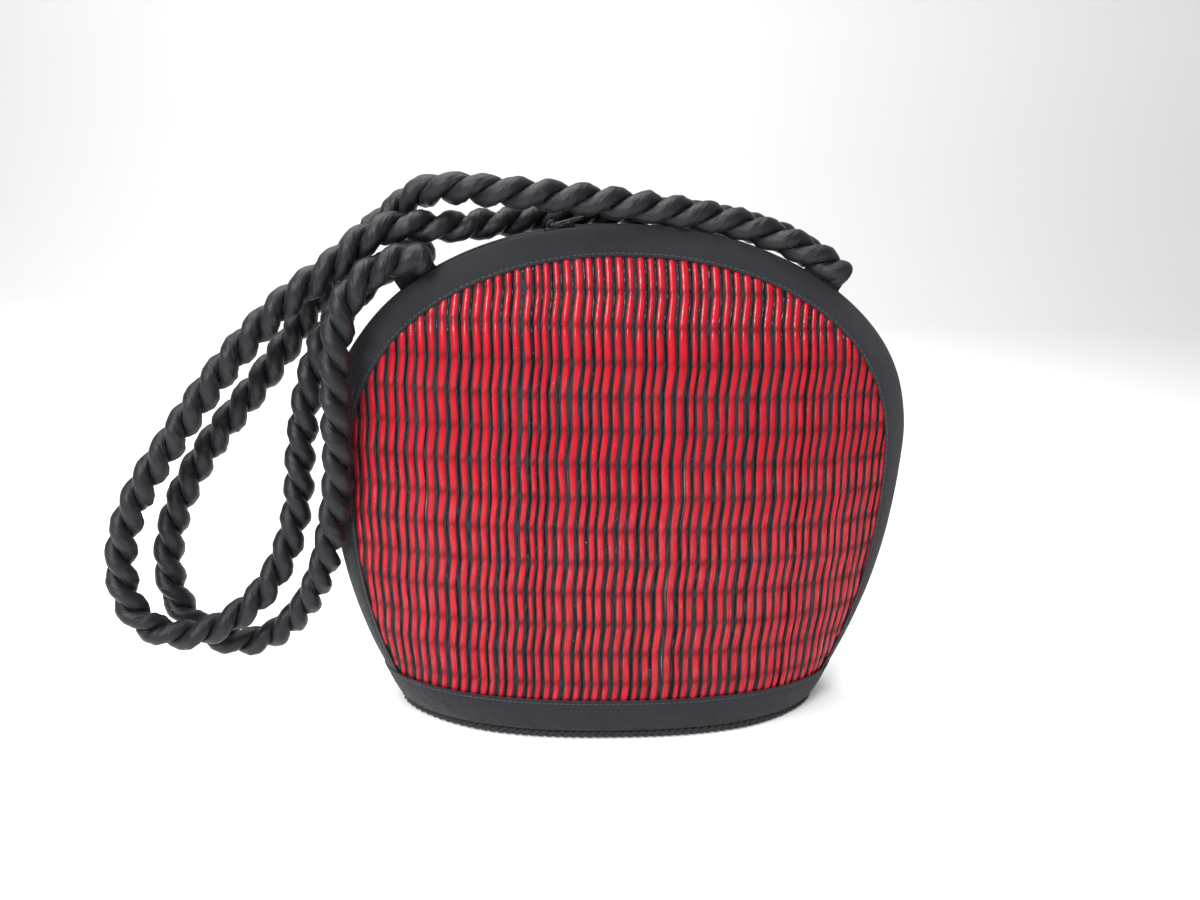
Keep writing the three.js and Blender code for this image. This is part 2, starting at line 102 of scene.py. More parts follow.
BACK_ROUTE = (
    (96.8, 9.4, 218.6), (88, 9.6, 224.6), (77, 10.5, 230.2), (64, 11.2, 234.4), (48, 11.6, 238),
    (30, 11.8, 240.6), (8, 12, 241.4), (-15, 13.2, 240.4), (-34, 15.4, 237.5), (-50, 15.5, 235.3),
    (-66, 11, 233.6), (-82, 4, 232.4), (-95, -2, 232.5), (-106, -4.6, 231.9), (-117.5, -7.2, 227),
    (-132, -9.3, 214.5), (-150, -9.3, 200.5), (-170.3, -9.3, 180.5), (-188.3, -9.3, 158.5),
    (-205.8, -9.3, 134), (-221.5, -9.3, 110), (-230.7, -10, 87), (-232.3, -11.5, 67),
    (-227, -13.5, 50.5), (-215.5, -15, 42), (-201, -15, 40.8), (-186, -13, 46.3), (-172, -9.5, 57.5),
    (-160.5, -5.5, 76), (-153.6, -2, 100), (-151, 0, 128), (-147, 1.5, 154), (-142.5, 2, 170),
    (-136.2, 3.2, 185.3), (-127, 5, 198.2), (-117, 8.5, 208.5), (-105, 10.3, 217), (-92.5, 9.7, 220.6),
)


def length(name, description, default):
    """A size in metres."""
    return FloatProperty(name=name, description=description, default=default, unit="LENGTH", precision=5)


def number(name, description, default):
    """A plain factor or power."""
    return FloatProperty(name=name, description=description, default=default)


def colour(name, description, default):
    """A linear colour."""
    return FloatVectorProperty(
        name=name, description=description, default=default, subtype="COLOR", size=3, min=0, max=1
    )


class PurseBody(bpy.types.PropertyGroup):
    """The form that both mats follow."""

    bag_width: length("Bag width", "Widest, over the bindings", 0.274)
    bag_height: length("Bag height", "Over the bindings", 0.236)
    widest_height: length("Widest height", "Where the bag is widest", 0.135)
    base_width: length("Base width", "Over the bindings", 0.204)
    base_depth: length("Base depth", "Over the mats' middle", 0.0815)
    mat_thickness: length("Mat thickness", "Of each wall", 0.002)
    cloth_wall: length("Cloth thickness", "Of bindings and band", 0.001)
    clearance: length("Clearance", "Between neighbouring pieces", 0.0003)
    zip_half_gap: length("Zip half gap", "From the middle to a binding", 0.0033)
    binding_reach: length("Binding reach", "How far a binding covers the mat", 0.013)
    tab_right: length("Right tabs", "From the middle to the tabs at the right", 0.088)
    tab_left: length("Left tabs", "From the middle to the tabs at the left", 0.096)
    arch_power: number("Arch power", "Squareness of the arch", 2.1)
    side_power: number("Side power", "How the sides draw in to the base", 2.4)
    lean_power: number("Lean power", "How the walls lean together", 2.0)
    lean_round: number("Lean roundness", "Roundness of the side view", 0.75)
    section_power: number("Section power", "Squareness of level sections", 2.4)
    base_round: number("Base roundness", "Roundness of the foot's oval", 0.54)
    seam_lean_low: number("Seam lean at foot", "Share of the binding's half thickness", 0.55)
    seam_lean_high: number("Seam lean higher up", "Share of the binding's half thickness", 0.75)
    seam_widens: number("Seam widens", "Share of the bag's height", 0.64)
    seam_open: number("Seam open", "Share of the bag's height", 0.8)


class PurseReeds(bpy.types.PropertyGroup):
    """The two mats of dyed reeds."""

    pair_pitch: length("Pair pitch", "A red and a black reed together", 0.00475)
    red_share: number("Red share", "Of the pitch that a red reed takes", 0.67)
    red_crown: length("Red crown", "How proud a red reed stands", 0.00145)
    black_crown: length("Black crown", "How proud a black reed stands", 0.00110)
    covered_crown: length("Covered crown", "How proud a reed stands under the binding", 0.00115)
    thread_top: length("Highest thread", "Height of the highest hidden thread", 0.2092)
    thread_pitch: length("Thread pitch", "Between hidden threads", 0.0151)
    slant: length("Slant", "Sideways run of a reed in one band", 0.00085)
    jump: length("Jump", "Sideways step of a reed at a thread", 0.00012)
    red: colour("Red", "Dyed reeds", (0.47, 0.007, 0.019))
    deep_red: colour("Deep red", "Dyed reeds that took more dye", (0.31, 0.005, 0.013))
    black: colour("Black", "Dyed reeds", (0.0045, 0.0030, 0.0040))
    grey: colour("Grey", "Black reeds that took less dye", (0.030, 0.024, 0.033))
    bare: colour("Bare", "Streaks that took no dye", (0.36, 0.30, 0.23))


class PurseCloth(bpy.types.PropertyGroup):
    """Bindings, base band, tabs and trim."""

    stitch_pitch: length("Stitch pitch", "Between stitches", 0.0027)
    stitch_length: length("Stitch length", "Of one stitch", 0.0021)
    stitch_width: length("Stitch width", "Of the thread", 0.00042)
    weave_pitch: length("Weave pitch", "Between threads of the cloth", 0.00042)
    trim_diameter: length("Trim diameter", "Twisted trim round the base", 0.0034)
    trim_proud: length("Trim proud", "How far the trim stands out past the band", 0.0009)
    trim_lay: length("Trim lay", "One turn of a strand of the trim", 0.0078)
    cloth: colour("Cloth", "Black cotton", (0.0098, 0.0104, 0.0136))
    thread: colour("Thread", "Stitching thread", (0.040, 0.040, 0.046))


class PurseRopes(bpy.types.PropertyGroup):
    """The two handles."""

    diameter: length("Diameter", "Of a whole rope", 0.0144)
    strand: length("Strand", "Diameter of one strand", 0.0081)
    lay: length("Lay", "One turn of a strand", 0.0284)
    first_knot: length("First knot", "Length of the rounded end at the right, where the strands join", 0.010)
    last_knot: length("Last knot", "Length of the rounded end at the left, where the strands join", 0.016)
    past: length("Past the tab", "How far a rope's last knot reaches past its route", 0.0035)
    droop: length("Droop", "How far a rope's first end hangs below its route", 0.0022)
    satin: colour("Satin", "Black satin", (0.0042, 0.0048, 0.0074))


class PurseZip(bpy.types.PropertyGroup):
    """Tapes, teeth, slider and pull."""

    tooth_pitch: length("Tooth pitch", "Between teeth of one side", 0.0019)
    chain_width: length("Chain width", "Over both rows of teeth", 0.0034)
    chain_height: length("Chain height", "Of the teeth", 0.0022)
    chain_sink: length("Chain sink", "Below the edge of the bag", 0.0005)
    tape_drop: length("Tape drop", "Height of a tape", 0.011)
    tape_sink: length("Tape sink", "Below the edge of the bag", 0.001)
    tape_thickness: length("Tape thickness", "Of a tape", 0.001)
    teeth: colour("Teeth", "Black coil", (0.016, 0.016, 0.018))
    tape: colour("Tape", "Black tape", (0.008, 0.008, 0.010))
    enamel: colour("Enamel", "Black slider and pull", (0.012, 0.012, 0.013))


class PurseStage(bpy.types.PropertyGroup):
    """Floor, lights and camera."""

    camera_place: FloatVectorProperty(
        name="Camera place", description="Where the photograph was taken from",
        default=(-0.05958, -0.44027, 0.27284), subtype="TRANSLATION", unit="LENGTH",
    )
    focal_pixels: number("Focal length", "In pixels of a 1200 pixel frame", 970.17)
    yaw: FloatProperty(name="Yaw", description="Turn to the right", default=0.1097, subtype="ANGLE")
    pitch: FloatProperty(name="Pitch", description="Tilt down", default=0.3111, subtype="ANGLE")
    roll: FloatProperty(name="Roll", description="Turn of the frame", default=0.0484, subtype="ANGLE")
    floor: colour("Floor", "Pale floor and backdrop", (0.94, 0.94, 0.94))
    key_power: FloatProperty(name="Key power", description="Overhead light", default=20.0, unit="POWER")
    fill_power: FloatProperty(name="Fill power", description="Light from the front", default=17.0, unit="POWER")
    sky: number("Sky strength", "Brightness of the room", 0.46)


# Shader graphs


class Value:
    """A shader socket that takes part in plain arithmetic."""

    def __init__(self, graph, socket):
        self.graph = graph
        self.socket = socket

    def __add__(self, other):
        return self.graph.math("ADD", self, other)

    def __sub__(self, other):
        return self.graph.math("SUBTRACT", self, other)

    def __rsub__(self, other):
        return self.graph.math("SUBTRACT", other, self)

    def __mul__(self, other):
        return self.graph.math("MULTIPLY", self, other)

    def __truediv__(self, other):
        return self.graph.math("DIVIDE", self, other)

    def __pow__(self, other):
        return self.graph.math("POWER", self, other)

    __radd__ = __add__
    __rmul__ = __mul__


class Graph:
    """The node tree of one material."""

    def __init__(self, name):
        self.material = bpy.data.materials.new(name)
        self.material.use_nodes = True
        self.tree = self.material.node_tree
        self.tree.nodes.clear()

    def node(self, kind, settings=None, output=0, **sockets):
        """A node with its settings made first, then its sockets, named or numbered as in0, in1."""
        node = self.tree.nodes.new(kind)
        for key, value in (settings or {}).items():
            if key == "stops":
                self.stops(node.color_ramp, value)
            else:
                setattr(node, key, value)
        for key, value in sockets.items():
            socket = node.inputs[int(key[2:])] if key[:2] == "in" and key[2:].isdigit() else node.inputs[key]
            if isinstance(value, Value):
                self.tree.links.new(value.socket, socket)
            else:
                socket.default_value = value
        return Value(self, node.outputs[output])

    @staticmethod
    def stops(ramp, stops):
        """Sets a colour ramp's stops from pairs of a place and a grey level."""
        while len(ramp.elements) < len(stops):
            ramp.elements.new(1.0)
        for element, (place, grey) in zip(ramp.elements, stops):
            element.position = place
            element.color = (grey, grey, grey, 1)

    def math(self, operation, *values, clamp=False):
        """A Math node on values and numbers."""
        sockets = {f"in{i}": value for i, value in enumerate(values)}
        return self.node("ShaderNodeMath", {"operation": operation, "use_clamp": clamp}, **sockets)

    def attribute(self, name):
        """A number that the mesh carries at its vertices."""
        return self.node("ShaderNodeAttribute", {"attribute_name": name}, output=2)

    def coordinates(self, source):
        """Texture coordinates: Object or UV."""
        return self.node("ShaderNodeTexCoord", output={"Object": 3, "UV": 2}[source])

    def stretched(self, source, scale):
        """Coordinates multiplied along each axis."""
        return self.node("ShaderNodeMapping", Vector=self.coordinates(source), Scale=scale)

    def noise(self, coordinates, scale, detail=3.0, roughness=0.55):
        """Smooth noise from 0 to 1."""
        return self.node(
            "ShaderNodeTexNoise", Vector=coordinates, Scale=scale, Detail=detail, Roughness=roughness
        )

    def axis(self, coordinates, index):
        """One component of a vector."""
        return self.node("ShaderNodeSeparateXYZ", output=index, Vector=coordinates)

    def ramp(self, value, stops):
        """Grey levels at places along a value."""
        return self.node("ShaderNodeValToRGB", {"stops": stops}, Fac=value)

    def blend(self, factor, first, second):
        """A colour between two colours."""
        first, second = (v if isinstance(v, Value) else (*v, 1.0) for v in (first, second))
        return self.node(
            "ShaderNodeMix", {"data_type": "RGBA"}, output=2, in0=factor, in6=first, in7=second
        )

    def shade(self, tint, value):
        """A colour multiplied by a number."""
        return self.blend(value, (0.0, 0.0, 0.0), tint)

    def bump(self, height, distance, strength=1.0, below=None):
        """A bump of a height in metres, on top of another bump."""
        sockets = {"Height": height, "Distance": distance, "Strength": strength}
        if below is not None:
            sockets["Normal"] = below
        return self.node("ShaderNodeBump", **sockets)

    def surface(self, **sockets):
        """Ends the graph in a Principled surface and gives the material."""
        named = {key.replace("_", " "): value for key, value in sockets.items()}
        shader = self.node("ShaderNodeBsdfPrincipled", **named)
        output = self.tree.nodes.new("ShaderNodeOutputMaterial")
        self.tree.links.new(shader.socket, output.inputs["Surface"])
        return self.material


def scaled(tint, factor):
    """A colour made lighter or darker by a factor."""
    return tuple(factor * c for c in tint)


def reed_material(sizes):
    """Dyed reed: long fibres, uneven dye, a broken gloss, dull where a thread pinches it, with painted shade
    darkening it there.
    """
    g = Graph("dyed_reed")
    fibres = g.noise(g.stretched("Object", (1, 1, 0.035)), 2600, 4.0, 0.6)
    patches = g.noise(g.stretched("Object", (1, 1, 0.22)), 210, 3.0)
    specks = g.ramp(g.noise(g.coordinates("Object"), 1100, 1.0), [(0.735, 0.0), (0.775, 1.0)])
    streaks = g.noise(g.stretched("Object", (1, 1, 0.10)), 1300, 2.0)
    polished = g.ramp(streaks, [(0.50, 0.0), (0.66, 1.0)])
    dye, bare, tone, pinch = (g.attribute(name) for name in ("dye", "bare", "tone", "pinch"))
    took = g.math("ADD", tone * 0.62 + patches * 0.75, fibres * 0.35 - 0.42, clamp=True)
    red = g.blend(took, tuple(sizes.deep_red), tuple(sizes.red))
    grey = g.blend((took ** 2.0) * 0.9, tuple(sizes.black), tuple(sizes.grey))
    dyed = g.blend(dye, grey, red)
    streaked = g.blend(bare * (0.55 + fibres * 0.6), dyed, tuple(sizes.bare))
    speckled = g.blend(specks * 0.35, streaked, (0.62, 0.30, 0.26))
    height = fibres * 0.7 + patches * 0.3
    return g.surface(
        # Painted shade: the colour darkens along each thread, more on the black reeds than on the red
        Base_Color=g.shade(speckled, 1.0 - pinch * (0.60 - dye * 0.22)),
        Roughness=g.math("ADD", 0.30 + fibres * 0.18, pinch * 0.12, clamp=True),
        Normal=g.bump(height, 0.00011, 0.8),
        Coat_Weight=(polished * 0.70 + dye * (0.46 - fibres * 0.3)) * (1.0 - pinch * 0.75),
        Coat_Roughness=0.17,
        Specular_IOR_Level=0.06,
    )


def backing_material(sizes):
    """Dark pith and threads behind the reeds."""
    g = Graph("mat_backing")
    fibres = g.noise(g.stretched("Object", (1, 1, 0.05)), 1800, 3.0)
    tint = g.blend(fibres, tuple(sizes.black), scaled(sizes.grey, 0.6))
    return g.surface(Base_Color=tint, Roughness=0.85, Normal=g.bump(fibres, 0.0002))


def weave(g, pitch):
    """Height of a plain weave on the piece's own map, which is in metres."""
    map_uv = g.coordinates("UV")
    turns = 2 * math.pi / pitch
    along = g.math("SINE", g.axis(map_uv, 0) * turns)
    across = g.math("SINE", g.axis(map_uv, 1) * turns)
    return along * across * 0.5 + 0.5


def cloth_material(name, tint, pitch, roughness=0.86, relief=0.00009):
    """Woven cotton with lint and fine creases, its colour painted lighter on the creases' crests and darker in
    their hollows, with soft random patches of painted sheen.
    """
    g = Graph(name)
    threads = weave(g, pitch)
    map_uv = g.coordinates("UV")
    creases = g.noise(map_uv, 160, 4.0, 0.6)
    lint = g.ramp(g.noise(map_uv, 2400, 2.0, 0.7), [(0.66, 0.0), (0.76, 1.0)])
    sheen_patches = g.noise(map_uv, 38, 3.0)
    # The colour follows the weave, and follows the creases as painted shade in their hollows and painted
    # highlight on their crests
    base = g.blend(threads * 0.55 + creases * 0.35, scaled(tint, 0.62), scaled(tint, 1.5))
    # The lint specks are real; the large soft patches lighten the cloth towards blue-grey as painted sheen
    lint_and_sheen = g.blend(lint * 0.16 + sheen_patches * 0.13, base, (0.085, 0.088, 0.105))
    cloth = g.bump(creases, 0.0012, 0.7)
    return g.surface(
        Base_Color=lint_and_sheen,
        Roughness=g.math("ADD", roughness - 0.06, threads * 0.1, clamp=True),
        Normal=g.bump(threads, relief, 1.0, below=cloth),
        Sheen_Weight=0.12,
        Sheen_Roughness=0.5,
        Specular_IOR_Level=0.25,
    )


def thread_material(name, tint):
    """Sewing thread with its twist."""
    g = Graph(name)
    twist = g.noise(g.coordinates("Object"), 2600, 2.0)
    base = g.blend(twist, scaled(tint, 0.6), scaled(tint, 1.8))
    return g.surface(Base_Color=base, Roughness=0.62, Normal=g.bump(twist, 0.0001), Sheen_Weight=0.2)


def satin_material(tint):
    """Black satin drawn over a cord: fine floats along the strand and small drawn wrinkles, its colour painted
    lighter along the floats and on the wrinkles' crests as sheen and darker in their hollows as shade.
    """
    g = Graph("black_satin")
    floats = g.noise(g.stretched("UV", (0.05, 1, 1)), 5200, 2.0)
    wrinkles = g.noise(g.stretched("UV", (0.32, 1, 1)), 620, 3.0, 0.55)
    folds = g.noise(g.stretched("UV", (0.5, 1, 1)), 210, 2.0)
    # Painted sheen and shade: lighter along the floats and on the wrinkles' crests, darker in the wrinkles'
    # hollows
    base = g.blend(wrinkles * 0.6 + floats * 0.3, scaled(tint, 0.7), scaled(tint, 1.6))
    drawn = g.bump(wrinkles * 0.45 + folds * 0.55, 0.0016, 0.65)
    return g.surface(
        Base_Color=base,
        Roughness=0.40 + wrinkles * 0.12,
        Normal=g.bump(floats, 0.00006, 0.8, below=drawn),
        Sheen_Weight=0.05,
        Sheen_Roughness=0.35,
        Specular_IOR_Level=0.34,
    )


def teeth_material(tint):
    """Moulded black coil."""
    g = Graph("zip_coil")
    grain = g.noise(g.coordinates("Object"), 1900, 3.0)
    base = g.blend(grain, scaled(tint, 0.7), scaled(tint, 1.5))
    return g.surface(Base_Color=base, Roughness=0.36 + grain * 0.2, Normal=g.bump(grain, 0.00005))


def enamel_material(tint):
    """Black enamel on cast metal, rubbed to bare metal in places."""
    g = Graph("black_enamel")
    cast = g.noise(g.coordinates("Object"), 900, 4.0)
    rubbed = g.ramp(g.noise(g.coordinates("Object"), 420, 3.0), [(0.60, 0.0), (0.70, 1.0)])
    base = g.blend(rubbed * 0.5, tint, (0.32, 0.32, 0.33))
    return g.surface(
        Base_Color=base,
        Roughness=0.22 + cast * 0.18,
        Metallic=0.55 + rubbed * 0.35,
        Normal=g.bump(cast, 0.00006, 0.6),
        Coat_Weight=0.4,
        Coat_Roughness=0.15,
    )


def floor_material(tint):
    """Smooth pale board."""
    g = Graph("pale_floor")
    mottle = g.noise(g.coordinates("Object"), 6, 3.0)
    base = g.blend(mottle, tuple(tint), scaled(tint, 0.985))
    return g.surface(Base_Color=base, Roughness=0.55 + mottle * 0.05)


# The form of the mats


class MatForm:
    """The middle surface of both mats, worked out from the body's sizes."""

    def __init__(self, body):
        self.body = body
        self.wrap = body.clearance + body.cloth_wall
        self.binding_inside = body.mat_thickness / 2 + body.clearance
        self.binding_outside = self.binding_inside + body.cloth_wall
        self.band_inside = self.binding_outside + body.clearance
        self.band_outside = self.band_inside + body.cloth_wall
        self.half = body.bag_width / 2 - self.wrap
        self.top = body.bag_height - self.wrap
        self.base_half = body.base_width / 2 - self.wrap
        self.seam_low = body.clearance / 2 + body.seam_lean_low * self.binding_outside
        self.seam_high = body.clearance / 2 + body.seam_lean_high * self.binding_outside
        self.seam_zip = body.zip_half_gap + self.binding_outside

    def half_width(self, z):
        """Half width of a mat at a height."""
        body = self.body
        rise = np.clip((z - body.widest_height) / (self.top - body.widest_height), 0, 1)
        drop = np.clip((body.widest_height - z) / body.widest_height, 0, 1)
        upper = self.half * (1 - rise ** body.arch_power) ** (1 / body.arch_power)
        lower = self.half - (self.half - self.base_half) * drop ** body.side_power
        return np.where(z >= body.widest_height, upper, lower)

    def depth(self, x, z):
        """Distance of a mat's middle surface from the middle plane."""
        body = self.body
        widens, opens = body.seam_widens * body.bag_height, body.seam_open * body.bag_height
        low = self.seam_low + (self.seam_high - self.seam_low) * np.minimum(z / widens, 1)
        t = np.clip((z - widens) / (opens - widens), 0, 1)
        edge = low + (self.seam_zip - self.seam_high) * t * t * (3 - 2 * t)
        rise = np.clip(z / self.top, 0, 1)
        across = np.clip(np.abs(x) / np.maximum(self.half_width(z), 1e-9), 0, 1)
        bulge = (body.base_depth / 2 - self.seam_low) * (1 - rise ** body.lean_power) ** body.lean_round
        power = body.base_round + (1 - body.base_round) * rise
        return edge + bulge * (1 - across ** body.section_power) ** power

    def points(self, x, z, side):
        """Points of a mat's middle surface and its outward normals; side is -1 in front, 1 behind."""
        step = 0.001
        slightly_in = 0.98
        x_in = np.where(np.abs(x) > step, x - np.sign(x) * step, x - step)
        z_in = np.maximum(np.minimum(z, self.top - 2 * step) - step, 0)
        depth = self.depth(x, z)
        slope_x = (depth - self.depth(x_in, z)) / (x - x_in)
        inner = x * slightly_in
        slope_z = (self.depth(inner, z_in + step) - self.depth(inner, z_in)) / step
        normals = np.stack([-slope_x, np.full_like(slope_x, side), -slope_z], -1)
        normals /= np.linalg.norm(normals, axis=-1, keepdims=True)
        return np.stack([x, side * depth, z], -1), normals

    def offset(self, x, z, side, way):
        """Points a given way off a mat's middle surface."""
        points, normals = self.points(x, z, side)
        return points + normals * np.asarray(way)[..., None]

    def across(self, s, z):
        """The x of each place s along the level section through each height z, both in rows."""
        half_count = 80
        share = np.sin(np.linspace(-1, 1, 2 * half_count + 1) * math.pi / 2)
        grid_x = self.half_width(z)[:, None] * share
        grid_y = self.depth(grid_x, z[:, None] + 0 * grid_x)
        steps = np.hypot(np.diff(grid_x), np.diff(grid_y))
        run = np.concatenate([np.zeros((len(z), 1)), np.cumsum(steps, 1)], 1)
        run -= run[:, half_count:half_count + 1]
        return np.stack([np.interp(s[i], run[i], grid_x[i]) for i in range(len(z))])

    def rim(self, count):
        """Evenly spaced stations round a mat's edge in the front view, with their inward directions."""
        body = self.body
        low = np.linspace(MAT_BOTTOM, body.widest_height, 120, endpoint=False)
        angle = np.linspace(0, math.pi / 2, 400)
        power = 2 / body.arch_power
        arch_x = self.half * np.maximum(np.cos(angle), 0) ** power
        arch_z = body.widest_height + (self.top - body.widest_height) * np.sin(angle) ** power
        x, z = np.concatenate([self.half_width(low), arch_x]), np.concatenate([low, arch_z])
        x, z = np.concatenate([x, -x[-2::-1]]), np.concatenate([z, z[-2::-1]])
        run = np.concatenate([[0], np.cumsum(np.hypot(np.diff(x), np.diff(z)))])
        even = np.linspace(0, run[-1], count)
        x, z = np.interp(even, run, x), np.interp(even, run, z)
        x[count // 2] = 0.0 if count % 2 else x[count // 2]
        dx, dz = np.gradient(x), np.gradient(z)
        size = np.hypot(dx, dz)
        return x, z, -dz / size, dx / size, even

    def inward(self, x, z, in_x, in_z, side, reaches):
        """For each station, x and z at given ways in from the edge, measured along the mat."""
        ways = np.arange(0, 0.024, 0.00025)
        grid_x = x[:, None] + in_x[:, None] * ways
        grid_z = np.maximum(z[:, None] + in_z[:, None] * ways, 0)
        grid = self.points(grid_x, grid_z, side)[0]
        run = np.concatenate(
            [np.zeros((len(x), 1)), np.cumsum(np.linalg.norm(np.diff(grid, axis=1), axis=2), 1)], 1
        )
        way = np.stack([np.interp(reaches, run[i], ways) for i in range(len(x))])
        return x[:, None] + in_x[:, None] * way, np.maximum(z[:, None] + in_z[:, None] * way, 0)

    def foot_oval(self, z, way, steps):
        """The closed oval round the foot at a height, a given way outside the mats' middle."""
        angle = np.linspace(-math.pi / 2, math.pi / 2, steps)
        x = self.half_width(np.full(steps, z)) * np.sin(angle)
        points, normals = self.points(x, np.full(steps, z), -1)
        level = normals * (1, 1, 0)
        front = points + level * (way / (level ** 2).sum(-1, keepdims=True))
        back = front[::-1] * (1, -1, 1)
        return np.concatenate([front, back])

    def arch(self, x):
        """Places on the bag's top edge, with their outward and rightward directions."""
        body = self.body
        wide = body.bag_width / 2
        tall = body.bag_height - body.widest_height
        rise = (1 - (np.abs(x) / wide) ** body.arch_power) ** (1 / body.arch_power)
        out_x = np.sign(x) * (np.abs(x) / wide) ** (body.arch_power - 1) / wide
        out_z = rise ** (body.arch_power - 1) / tall
        size = np.hypot(out_x, out_z)
        edge = np.stack([x, 0 * x, body.widest_height + tall * rise], -1)
        out = np.stack([out_x / size, 0 * x, out_z / size], -1)
        right = np.stack([out[..., 2], 0 * x, -out[..., 0]], -1)
        return edge, out, right


def even_ring(points, count):
    """A closed line spaced evenly, with its length."""
    loop = np.vstack([points, points[:1]])
    run = np.concatenate([[0], np.cumsum(np.linalg.norm(np.diff(loop, axis=0), axis=1))])
    even = np.linspace(0, run[-1], count, endpoint=False)
    return np.stack([np.interp(even, run, loop[:, i]) for i in range(3)], 1), run[-1]


def stitched_ring(line, pitch):
    """Evenly spaced places for stitches on a closed line, with its direction at each."""
    even, _ = even_ring(line, round(even_ring(line, 10)[1] / pitch))
    along = np.roll(even, -1, 0) - np.roll(even, 1, 0)
    return even, along / np.linalg.norm(along, axis=1, keepdims=True)


def ripples(run, rng, count, shortest, longest):
    """Uneven waves along a run, from -1 to 1."""
    waves = zip(rng.uniform(shortest, longest, count), rng.uniform(0, 6.3, count))
    return sum(np.sin(run / wave + phase) for wave, phase in waves) / count


# Meshes


class Piece:
    """One mesh that is built of grids and small solids, then rides on a body."""

    def __init__(self, name):
        self.name = name
        self.bm = bmesh.new()
        self.bm.loops.layers.uv.new("UVMap")

    def grid(self, points, around=False, along=False, uv=None, slot=0, numbers=None):
        """A sheet over rows and columns of points; around joins its columns, along its rows."""
        rows, columns = points.shape[:2]
        if around:
            points = np.concatenate([points, points[:, :1]], 1)
        if along:
            points = np.concatenate([points, points[:1]], 0)
        bm = bmesh.new()
        uv_layer = bm.loops.layers.uv.new("UVMap")
        layers = {name: bm.verts.layers.float.new(name) for name in (numbers or {})}
        made = bmesh.ops.create_grid(
            bm, x_segments=points.shape[1] - 1, y_segments=points.shape[0] - 1, size=1
        )["verts"]
        width = points.shape[1]
        place = {}
        for index, vertex in enumerate(made):
            row, column = divmod(index, width)
            vertex.co = points[row, column]
            place[vertex] = (row, column)
            for name, layer in layers.items():
                vertex[layer] = numbers[name][row % rows][column % columns]
        for face in bm.faces:
            face.material_index = slot
            face.smooth = True
            if uv is not None:
                for loop in face.loops:
                    row, column = place[loop.vert]
                    loop[uv_layer].uv = (uv[0][row], uv[1][column])
        if around or along:
            bmesh.ops.remove_doubles(bm, verts=made, dist=1e-7)
        self.join(bm)

    def join(self, bm):
        """Adds a small mesh that was made on its own, and frees it."""
        part = bpy.data.meshes.new("part")
        bm.to_mesh(part)
        bm.free()
        self.bm.from_mesh(part)
        bpy.data.meshes.remove(part)

    def close(self):
        """Closes every open end and turns all faces outwards."""
        rim = [edge for edge in self.bm.edges if edge.is_boundary]
        bmesh.ops.holes_fill(self.bm, edges=rim, sides=0)
        bmesh.ops.recalc_face_normals(self.bm, faces=self.bm.faces)

    def stitches(self, places, alongs, outs, length, width, slot):
        """Small rounded stitches along a seam: one is doubled till there are enough, then each is placed."""
        places, alongs, outs = (np.asarray(v) for v in (places, alongs, outs))
        axes = np.stack([alongs, np.cross(outs, alongs), outs], 2) * np.array([length, width, width]) / 2
        bm = bmesh.new()
        copy = bm.verts.layers.int.new("copy")
        bmesh.ops.create_uvsphere(
            bm, u_segments=6, v_segments=4, radius=1, matrix=Matrix.Rotation(math.pi / 2, 4, "Y")
        )
        count = 1
        while count < len(places):
            made = bmesh.ops.duplicate(bm, geom=[*bm.verts, *bm.edges, *bm.faces])["geom"]
            for vertex in made:
                if isinstance(vertex, bmesh.types.BMVert):
                    vertex[copy] += count
            count *= 2
        bmesh.ops.delete(bm, geom=[v for v in bm.verts if v[copy] >= len(places)], context="VERTS")
        for vertex in bm.verts:
            which = vertex[copy]
            vertex.co = places[which] + axes[which] @ np.array(vertex.co)
        for face in bm.faces:
            face.material_index = slot
            face.smooth = True
        bm.verts.layers.int.remove(copy)
        self.join(bm)

    def finish(self, materials, body, nodes, sharp=None):
        """Makes the object, gives it its materials and lets it stand for its nodes."""
        mesh = bpy.data.meshes.new(self.name)
        self.bm.to_mesh(mesh)
        self.bm.free()
        for material in materials:
            mesh.materials.append(material)
        if sharp is not None:
            mesh.set_sharp_from_angle(angle=sharp)
        piece = bpy.data.objects.new(self.name, mesh)
        bpy.context.scene.collection.objects.link(piece)
        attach(piece, body)
        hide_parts(*nodes)
        return piece


def sizes():
    """The scene's property groups, by short name."""
    scene = bpy.context.scene
    return {
        name: getattr(scene, f"purse_{name}") for name in ("body", "reeds", "cloth", "ropes", "zip", "stage")
    }


def bell(distance, width):
    """1 at no distance, falling away smoothly."""
    return np.exp(-((distance / width) ** 2))


# Ropes


def rope_line(route, past, droop):
    """The smooth line through a route's points and on past its last, with its run; its first end droops."""
    points = np.array(route, float) / 1000
    ends = [2 * points[0] - points[1]], [2 * points[-1] - points[-2]]
    points = np.concatenate([ends[0], points, ends[1]])
    share = np.linspace(0, 1, 40, endpoint=False)[:, None]
    line = []
    for a, b, c, d in zip(points, points[1:], points[2:], points[3:]):
        before, middle, after = (np.linalg.norm(q - p) ** 0.5 for p, q in ((a, b), (b, c), (c, d)))
        leave = middle * ((b - a) / before - (c - a) / (before + middle) + (c - b) / middle)
        reach = middle * ((c - b) / middle - (d - b) / (middle + after) + (d - c) / after)
        line.append(
            b + leave * share + (3 * (c - b) - 2 * leave - reach) * share ** 2
            + (2 * (b - c) + leave + reach) * share ** 3
        )
    line = np.vstack([*line, points[-2:-1]])
    onward = line[-1] - line[-2]
    line = np.vstack([line, line[-1] + onward / np.linalg.norm(onward) * past])
    near = np.clip(1 - np.linalg.norm(line - line[0], axis=1) / DROOP_REACH, 0, 1) ** 2
    line = line + np.outer(near, droop)
    run = np.concatenate([[0], np.cumsum(np.linalg.norm(np.diff(line, axis=0), axis=1))])
    even = np.linspace(0, run[-1], round(run[-1] / ROPE_SPACING) + 1)
    return np.stack([np.interp(even, run, line[:, i]) for i in range(3)], 1), even


